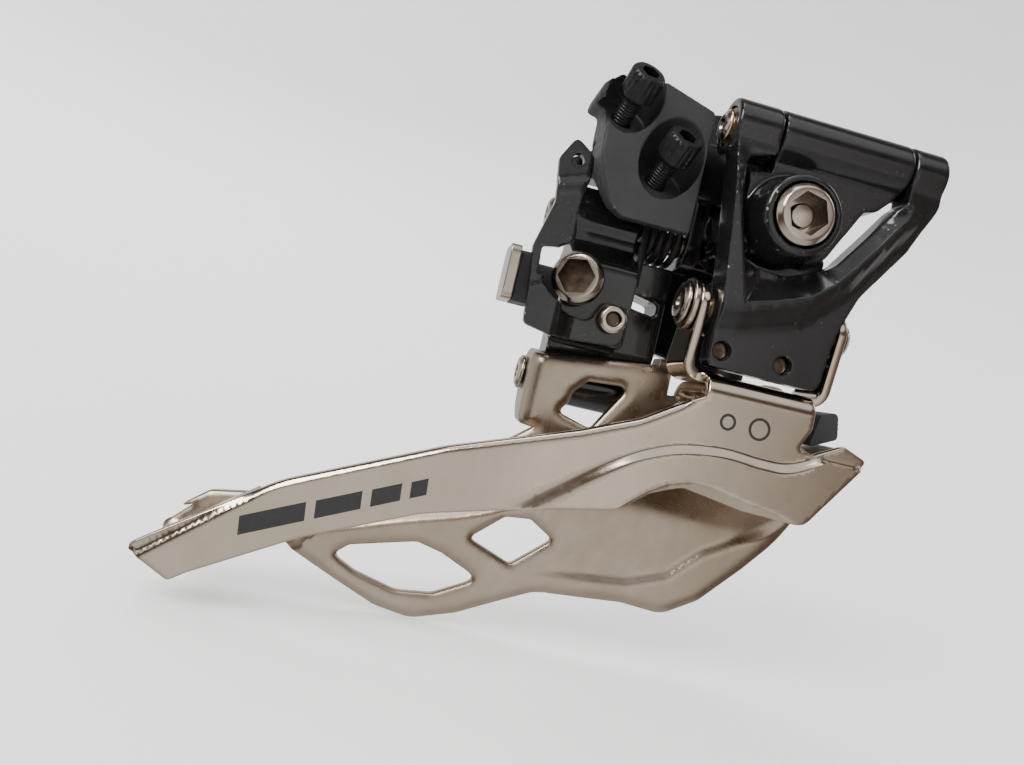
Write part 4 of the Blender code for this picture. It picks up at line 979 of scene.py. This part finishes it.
def show_outer_plate():
    flange_v = FOLD_Z + math.pi / 2 * FOLD_R
    inner_v = flange_v + FLANGE_DEPTH
    pivot_v = flange_v + LOWER_OUTER[0] - OUTER_PLATE_Y - FOLD_R
    pivot_u = LOWER_OUTER[1] - FLANGE_Z - EAR_BEND_R + math.pi / 2 * EAR_BEND_R
    neck = (-6.3, 10.8)
    outline = [(neck[1], flange_v), (FLANGE_X[1] + 0.1, flange_v + 0.3)]
    outline += arc((FLANGE_X[1] + pivot_u, pivot_v), 3.7, -90, 80, 16)
    outline += [(FLANGE_X[1] + 0.2, inner_v), (FLANGE_X[0] - 0.2, inner_v)]
    outline += arc((FLANGE_X[0] - pivot_u, pivot_v), 3.7, 100, 270, 16)
    outline += [(FLANGE_X[0] - 0.1, flange_v + 0.3), (neck[0], flange_v)]
    outline += rounded(
        [
            (neck[0], -28, 0), (-8.5, -29.1, 3), (-15.2, -33.4, 8), (-23.5, -36.9, 10), (-41.8, -43.3, 20),
            (-62.8, -52.7, 20), (-80.9, -65.4, 1), (-74.2, -68.9, 0.8), (-71.9, -67.3, 2), (-58.5, -59.8, 20),
            (-43, -53.2, 20), (-25.9, -48.9, 12), (-15.8, -46.9, 5), (-11.6, -43.6, 4), (-7, -41.8, 3),
            (3, -43.4, 8), (12.3, -43.6, 2.5), (20.5, -32.1, 0.8), (16.4, -30.6, 0.8), (12, -32.9, 1),
            (9.2, -32.8, 1), (neck[1], -29.3, 1), (neck[1], -28, 0),
        ]
    )  # fmt: skip
    upper = smoothed([(-38, -54.2), (-32.4, -50.3), (-26.5, -45.8), (-21.3, -42), (-16.5, -39),
                      (-12.6, -37.1), (-8, -35.6), (-1.8, -34.9), (4, -35.1), (8.4, -34.9), (12.5, -33.2)])
    lower = smoothed([(-33, -53.4), (-27.6, -49.6), (-23.4, -46.3), (-19.4, -43), (-15.4, -40),
                      (-11.9, -38.2), (-7.8, -36.9), (-2, -36.2), (3.6, -36.7), (8.2, -36.4), (13.6, -33.6)])
    band = [[(a[0] + (b[0] - a[0]) * t, a[1] + (b[1] - a[1]) * t) for a, b in zip(upper, lower)]
            for t in (0, 0.25, 0.5, 0.75, 1)]  # fmt: skip
    lip = [(-17.2, -47.6), (-14.6, -45.2), (-11.8, -43), (-9.1, -41.5), (-6, -40.6), (-2.8, -40.7),
           (3, -41.8), (8.8, -42.6)]  # fmt: skip

    arm = [(x, z) for x, z in outline if x < -6.2 and z < -28]
    top_edge = sorted(p for p in arm if above_line(*p, [(-80, -67), (-6, -35)]) > 0)

    def middle(x, z):
        top, foot = above_line(x, z, upper), above_line(x, z, lower)
        share = min(1, max(0, -top / max(0.2, foot - top)))
        band = 0.7 * share + 0.3 * ramp(share, 0, 1)
        proud = 0.9 * band * ramp(x, -36, -27)
        if z < -28.5:
            proud -= 0.6 * ramp(-x, 7, 10) * min(1, max(0, 1 + above_line(x, z, top_edge) / 1.3)) ** 2
        if -17.2 < x < 10.5:
            under = -above_line(x, z, lip)
            share = ramp(x, -17.2, -12) * (1 - ramp(x, 6.5, 10.5))
            proud -= 1.1 * share * min(1.3, max(0, under) / 1.6) ** 1.6
        return OUTER_PLATE_Y - proud

    show(
        "cage_outer_plate",
        relief(outline, [], lambda x, z: middle(x, z) - SHEET / 2, lambda x, z: middle(x, z) + SHEET / 2, 0.5,
               fold, creases=[*band, lip], rim=0.3),
        cuts=[rod(on(LOWER_OUTER), X, -20, 30, 2)]
        + [rod((x, FLANGE_RIVET_Y, 0), Z, -40, 0, 1.3) for x in FLANGE_RIVET_X],
    )  # fmt: skip


PRINT_PROUD = 0.03
PRINT_GAP = 0.008


def show_marks():
    """A plain generic print: slanting bars on the arm, and two rings by the neck."""
    rise = math.atan2(12.2, 27.4)
    along, up = Vector((math.cos(rise), math.sin(rise))), Vector((-math.sin(rise), math.cos(rise)))
    start, face = Vector((-66.6, -61)), OUTER_PLATE_Y - SHEET / 2
    prints, reach = [], 0.0
    for length, height in ((9, 2.5), (6.4, 2.4), (4.2, 2.3), (2.4, 2.2)):
        corners = [(reach, 0), (reach + length, 0), (reach + length + 0.8, height), (reach + 0.8, height)]
        bar = [tuple(start + along * u + up * v) for u, v in corners]
        prints.append(prism("y", bar, face - PRINT_PROUD, face - PRINT_GAP))
        reach += length + 1.3
    for x, radius in ((-2.4, 1.25), (2.6, 1.7)):
        near, far, inner = face - PRINT_PROUD, face - PRINT_GAP, radius - 0.4
        profile = [(near, inner), (near, radius), (far, radius), (far, inner)]
        prints.append(turned(profile, (x, 0, -31), Y, 48))
    for k, bm in enumerate(prints):
        made = into_object(f"print_work_{k}", bm)
        mesh = made.data
        bpy.data.objects.remove(made)
        finished(f"printed_mark_{k + 1}", mesh, "cage", "screw_black", "ink")


def shape_inner_plate(x, y, z):
    """Bends the inner plate's blank: the rear end inboard into an ear, and the top outboard into a flange."""
    depth = y - PANEL_Y
    out, past = REAR_EAR_X - x, z - INNER_FLANGE_Z
    if out > 0 and z > PANEL_RISE[1]:
        quarter = math.pi / 2 * PANEL_BEND_R
        r = PANEL_BEND_R - depth
        if out < quarter:
            a = out / PANEL_BEND_R
            return REAR_EAR_X - r * math.sin(a), PANEL_Y + PANEL_BEND_R - r * math.cos(a), z
        return REAR_EAR_X - r, PANEL_Y + PANEL_BEND_R + out - quarter, z
    if past > 0 and x > FLANGE_X[0]:
        quarter = math.pi / 2 * PANEL_BEND_R
        r = PANEL_BEND_R + depth
        if past < quarter:
            a = past / PANEL_BEND_R
            return x, PANEL_Y - PANEL_BEND_R + r * math.cos(a), INNER_FLANGE_Z + r * math.sin(a)
        return x, PANEL_Y - PANEL_BEND_R - (past - quarter), INNER_FLANGE_Z + r
    return x, y, z


def show_inner_plate():
    flange_top = INNER_FLANGE_Z + math.pi / 2 * PANEL_BEND_R + 7.0
    ear_u = REAR_EAR_X - math.pi / 2 * PANEL_BEND_R - (LOWER_INNER[0] - PANEL_Y - PANEL_BEND_R)
    outline = rounded(
        [
            (-80.2, -64.6, 1), (-78.4, -67.4, 1), (-70, -64.6, 6), (-63.5, -63.6, 3), (-60.4, -64.9, 2),
            (-53.6, -67.9, 8), (-46.4, -70.9, 6), (-40.5, -71.9, 6), (-33.6, -69.8, 8), (-22, -64, 8),
            (-8, -63, 8), (-1, -63.6, 5), (4.6, -60.3, 6), (10.8, -53.8, 6), (19.6, -43.4, 3),
            (20.2, -34, 2), (11, -30.6, 1),
        ]
    )  # fmt: skip
    outline += [(11, flange_top), (-4.6, flange_top), (-5.6, INNER_FLANGE_Z + 0.2)]
    outline += [(-6.9, -28.8), (-7, -23.9), (REAR_EAR_X, -26.6), (REAR_EAR_X - 1, -26.7)]
    outline += arc((ear_u, LOWER_INNER[1]), 4.4, 80, 205, 14)
    outline += [(ear_u - 2.4, -36.4), (ear_u, -38.4), (REAR_EAR_X, -38.8)]
    outline += rounded([(-29.2, -40.9, 3), (-35, -43.6, 10), (-52, -51.6, 10), (-66.4, -57.5, 6),
                        (-74.3, -58.8, 2), (-79, -62.6, 1)])  # fmt: skip
    big_window = rounded(
        [(-54.2, -64.4, 1.4), (-52, -62.5, 2), (-42, -60, 3), (-37.8, -61, 3), (-31.2, -63.9, 1.2),
         (-38, -67.5, 4), (-43.6, -68.1, 5), (-50.4, -66.3, 5)]
    )  # fmt: skip
    small_window = rounded(
        [(-34.2, -57.8, 0.8), (-29.2, -53.4, 1.2), (-25.2, -53, 1.2), (-21, -55.5, 0.8), (-26.9, -60.6, 1)]
    )  # fmt: skip
    panel_window = rounded(
        [(-22.4, -31.6, 0.8), (-20.4, -29.5, 0.8), (-13.6, -29, 1), (-18.4, -37, 1), (-24.2, -35.4, 0.8),
         (-22.9, -33.6, 1)]
    )  # fmt: skip
    step_line = [(-62, -66), (-59.3, -64), (-57.6, -61.4), (-45.3, -57.4), (-36.8, -55), (-30, -52.6),
                 (20, -34)]  # fmt: skip
    swage = [(-30, -61.8), (-18.4, -59.8), (-8, -58.9), (-1.6, -56.6), (3.4, -51.9), (17.5, -44), (22, -41.5)]

    def middle(x, z):
        step = 1.6 * ramp(above_line(x, z, step_line), -0.4, 1.8) * ramp(-x, 18, 34)
        rise = ramp(z, *PANEL_RISE)
        press = 0.7 * ramp(-above_line(x, z, swage), -0.3, 1.6) * ramp(x, -30, -14)
        return (INNER_PLATE_Y + step - press) * (1 - rise) + PANEL_Y * rise

    show(
        "cage_inner_plate",
        relief(
            outline,
            [big_window, small_window, panel_window],
            lambda x, z: middle(x, z) - SHEET / 2,
            lambda x, z: middle(x, z) + SHEET / 2,
            0.6,
            shape_inner_plate,
            rim=0.35,
            curl=(1.9, 0.45),
        ),
        cuts=[rod(on(LOWER_INNER), X, -40, 0, 2)]
        + [rod((x, FLANGE_RIVET_Y, 0), Z, -40, 0, 1.3) for x in FLANGE_RIVET_X]
        + [rod((BRACKET_RIVET_X, 0, z), Y, -20, 0, 1.3) for z in BRACKET_RIVET_Z],
        look="satin_sheet",
    )


def rivet_body(at, along, low, high):
    profile = [(low - 0.6, 0), (low - 0.6, 1.3), (low - 0.15, 2.1), (low, 2.1), (low, 1.2)]
    profile += [(high, 1.2), (high, 2.1), (high + 0.15, 2.1), (high + 0.6, 1.3), (high + 0.6, 0)]
    return turned(softened(profile, 0.3), at, along, 40)


def show_cage_joints():
    ear = arc(LOWER_INNER, 4.4, -90, 90, 24)
    ear += [(-5.5, -23), (-8.9, -23), (-8.9, -38.6), (-5, -38.6)]
    foot = rounded([(-9.1, -38.6, 0), (-1.2, -38.6, 1.5), (-1.2, -28.6, 1.5), (-9.1, -28.6, 0)])
    show(
        "inner_pivot_bracket",
        prism("x", ear, -9.1, -7.6),
        adds=[prism("y", foot, -8.9, -7.5)],
        cuts=[rod(on(LOWER_INNER), X, -40, 0, 2)]
        + [rod((BRACKET_RIVET_X, 0, z), Y, -20, 0, 1.3) for z in BRACKET_RIVET_Z],
        voxel=0.14,
        smooth=3,
        look="satin_sheet",
    )
    for name, z in zip(("upper", "lower"), BRACKET_RIVET_Z):
        show(f"bracket_rivet_{name}", rivet_body((BRACKET_RIVET_X, PANEL_Y, z), Y, -0.9, 2.65))
    for name, x in zip(("rear", "front"), FLANGE_RIVET_X):
        show(f"flange_rivet_{name}", rivet_body((x, FLANGE_RIVET_Y, FLANGE_Z), Z, -2.7, 0.9))

    low, high = OUTER_PLATE_Y + SHEET / 2 + 0.3, INNER_PLATE_Y - SHEET / 2 - 0.3
    nose = rounded([(9.4, -33.4, 0.5), (12, -34.4, 0.8), (16.6, -32.2, 0.5), (16, -30.9, 0.5),
                    (12.2, -32.8, 0.8), (10.4, -32, 0.5)])  # fmt: skip
    show("front_bridge", prism("y", nose, low, high), voxel=0.14, smooth=2, look="satin_sheet")
    pad = rounded([(12.5, -31.9, 0.5), (17, -29.8, 0.8), (16.2, -25.6, 1), (13.4, -26.6, 0.8)])
    show("nose_pad", prism("y", pad, -22.4, -15.6), voxel=0.14, smooth=3)

    rise = math.radians(36)
    along, up = Vector((math.cos(rise), math.sin(rise))), Vector((-math.sin(rise), math.cos(rise)))
    corner = Vector((-79, -65))
    shelf = [corner, corner + along * 15, corner + along * 15.0 - up * 1.2, corner - up * 1.2]
    tabs = [corner + along * u - up * v for u, v in ((2, 0), (13, 0), (12, 5), (4.5, 4))]
    tail_high = high + 0.6
    show(
        "tail_bridge",
        prism("y", [tuple(p) for p in shelf], low, tail_high),
        adds=[
            prism("y", [tuple(p) for p in tabs], low, low + 1.1),
            prism("y", [tuple(p) for p in tabs], tail_high - 1.1, tail_high),
        ],
        voxel=0.14,
        smooth=3,
        look="satin_sheet",
    )


# ---------------------------------------------------------------- studio


def show_backdrop():
    """A pale sheet: flat under the object, and curving up on all sides into a wall. It glows with painted
    light, brighter to the left.
    """
    sides, flat_r, edge_r, gap = 128, 0.14, 2.8, 0.4 * MM
    floor_z = min(CAD_BOX[0][2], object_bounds()[0][2]) - gap
    f = Finish("pale_backdrop", 0.0, specular=0.1)
    colour = f.mixed(f.noise(60.0, 2.0), (0.80, 0.80, 0.795), (0.83, 0.83, 0.825))
    f.bump([(f.noise(1.5, 3.0), 0.04, 0.05)])
    f.set(colour, f.spread(f.noise(20.0), 0.6, 0.7))
    # The backdrop glows: an even glow for brightness, and painted light that is stronger to the left.
    painted_left_light = f.mixed(f.spread(f.coordinate("X"), 0.0, 1.0, -0.9, 0.9), (1.0, 1.0, 1.0), (0.36, 0.37, 0.375))
    f.links.new(painted_left_light, f.shader.inputs["Emission Color"])
    f.shader.inputs["Emission Strength"].default_value = 0.62
    rings = [[(0.0, 0.0, floor_z)]]
    for r in np.linspace(0.0, edge_r, 64)[1:]:
        height = floor_z + 0.55 * max(0.0, r - flat_r) ** 2
        rings.append([(r * math.cos(a), r * math.sin(a), height) for a in circle(sides)])
    bm = skinned(rings, solid=False)
    mesh = bpy.data.meshes.new("backdrop")
    bm.to_mesh(mesh)
    bm.free()
    mesh.materials.append(f.material)
    mesh.shade_smooth()
    backdrop = placed("backdrop", mesh)
    backdrop.visible_glossy = False


def show_room():
    """What the polished surfaces reflect: a dim warm room with a few broad soft panels of light in it."""
    world = bpy.data.worlds.new("studio")
    world.use_nodes = True
    g = Graph(world.node_tree, "Generated")
    colour = (0.105, 0.078, 0.060)
    panels = (
        ((0.1, 1.0, 0.15), 66.0, 25.0, (0.82, 0.82, 0.83)),
        ((0.0, -0.2, -1.0), 66.0, 30.0, (0.60, 0.59, 0.57)),
        ((0.04, -1.0, -0.13), 44.0, 13.0, (0.86, 0.85, 0.83)),
        ((0.52, -0.86, -0.02), 23.0, 20.5, (1.08, 1.06, 1.03)),
        ((0.88, -0.46, 0.0), 50.0, 18.0, (0.17, 0.125, 0.10)),
        ((0.1, -0.40, 0.92), 34.0, 22.0, (0.95, 0.96, 0.98)),
        ((-0.15, -0.15, 0.97), 13.0, 6.0, (3.6, 3.6, 3.6)),
        ((0.78, 0.10, 0.60), 16.0, 8.0, (2.6, 2.6, 2.6)),
        ((-1.0, -0.35, 0.35), 24.0, 14.0, (0.80, 0.81, 0.83)),
        ((1.0, 0.35, 0.05), 36.0, 14.0, (0.76, 0.75, 0.74)),
        ((-1.0, 0.35, 0.0), 36.0, 14.0, (0.76, 0.75, 0.74)),
    )
    for towards, outer, inner, light in panels:
        dot = g.nodes.new("ShaderNodeVectorMath")
        dot.operation = "DOT_PRODUCT"
        dot.inputs[1].default_value = Vector(towards).normalized()
        g.links.new(g.place, dot.inputs[0])
        limits = (math.cos(math.radians(angle)) for angle in (outer, inner))
        colour = g.mixed(g.spread(dot.outputs["Value"], 0.0, 1.0, *limits, curve="SMOOTHSTEP"), colour, light)
    g.links.new(colour, g.nodes["Background"].inputs["Color"])
    g.nodes["Background"].inputs["Strength"].default_value = 1.0
    bpy.context.scene.world = world


def show_lights():
    lights = (
        ("key", (-0.75, -0.75, 0.75), 0.7, 16.0, (1.0, 0.99, 0.97)),
        ("fill", (0.9, -0.8, 0.30), 0.9, 3.0, (0.97, 0.98, 1.0)),
        ("back", (-0.2, 0.45, 0.62), 0.5, 3.0, (1.0, 0.99, 0.98)),
    )
    for name, place, size, power, colour in lights:
        light = bpy.data.lights.new(name, "AREA")
        light.size = size
        light.energy = power
        light.color = colour
        lamp = placed(name, light)
        lamp.location = place
        lamp.rotation_euler = (Vector((0, 0, -0.03)) - Vector(place)).to_track_quat("-Z", "Y").to_euler()
        lamp.visible_camera = False
        lamp.visible_glossy = name == "key"


def show_camera():
    """The camera stands level with the cage, a hand's width from its outer side, and rolled 13 degrees."""
    along = Vector((0.9653, 0.2246, 0.1332)).normalized()
    upward = Vector((0.2266, -0.974, 0.0)).normalized()
    inboard = upward.cross(along).normalized()
    along = inboard.cross(upward)
    right, down, ahead = (Vector((along[k], inboard[k], upward[k])) for k in range(3))
    place = Vector((-0.0492, -0.133, -0.040))
    camera = placed("camera", bpy.data.cameras.new("camera"))
    camera.matrix_world = Matrix(
        [(right[k], -down[k], -ahead[k], place[k]) for k in range(3)] + [(0.0, 0.0, 0.0, 1.0)]
    )
    camera.data.sensor_width = 36.0
    camera.data.lens = 27.04
    camera.data.clip_start = 0.005
    bpy.context.scene.camera = camera


show_body()
show_limit_block()
show_limit_screws()
show_mount_bolt()
show_pins()
show_spring()
show_outer_link()
show_inner_link()
show_cable_clamp()
show_outer_plate()
show_marks()
show_inner_plate()
show_cage_joints()
show_backdrop()
show_room()
show_lights()
show_camera()
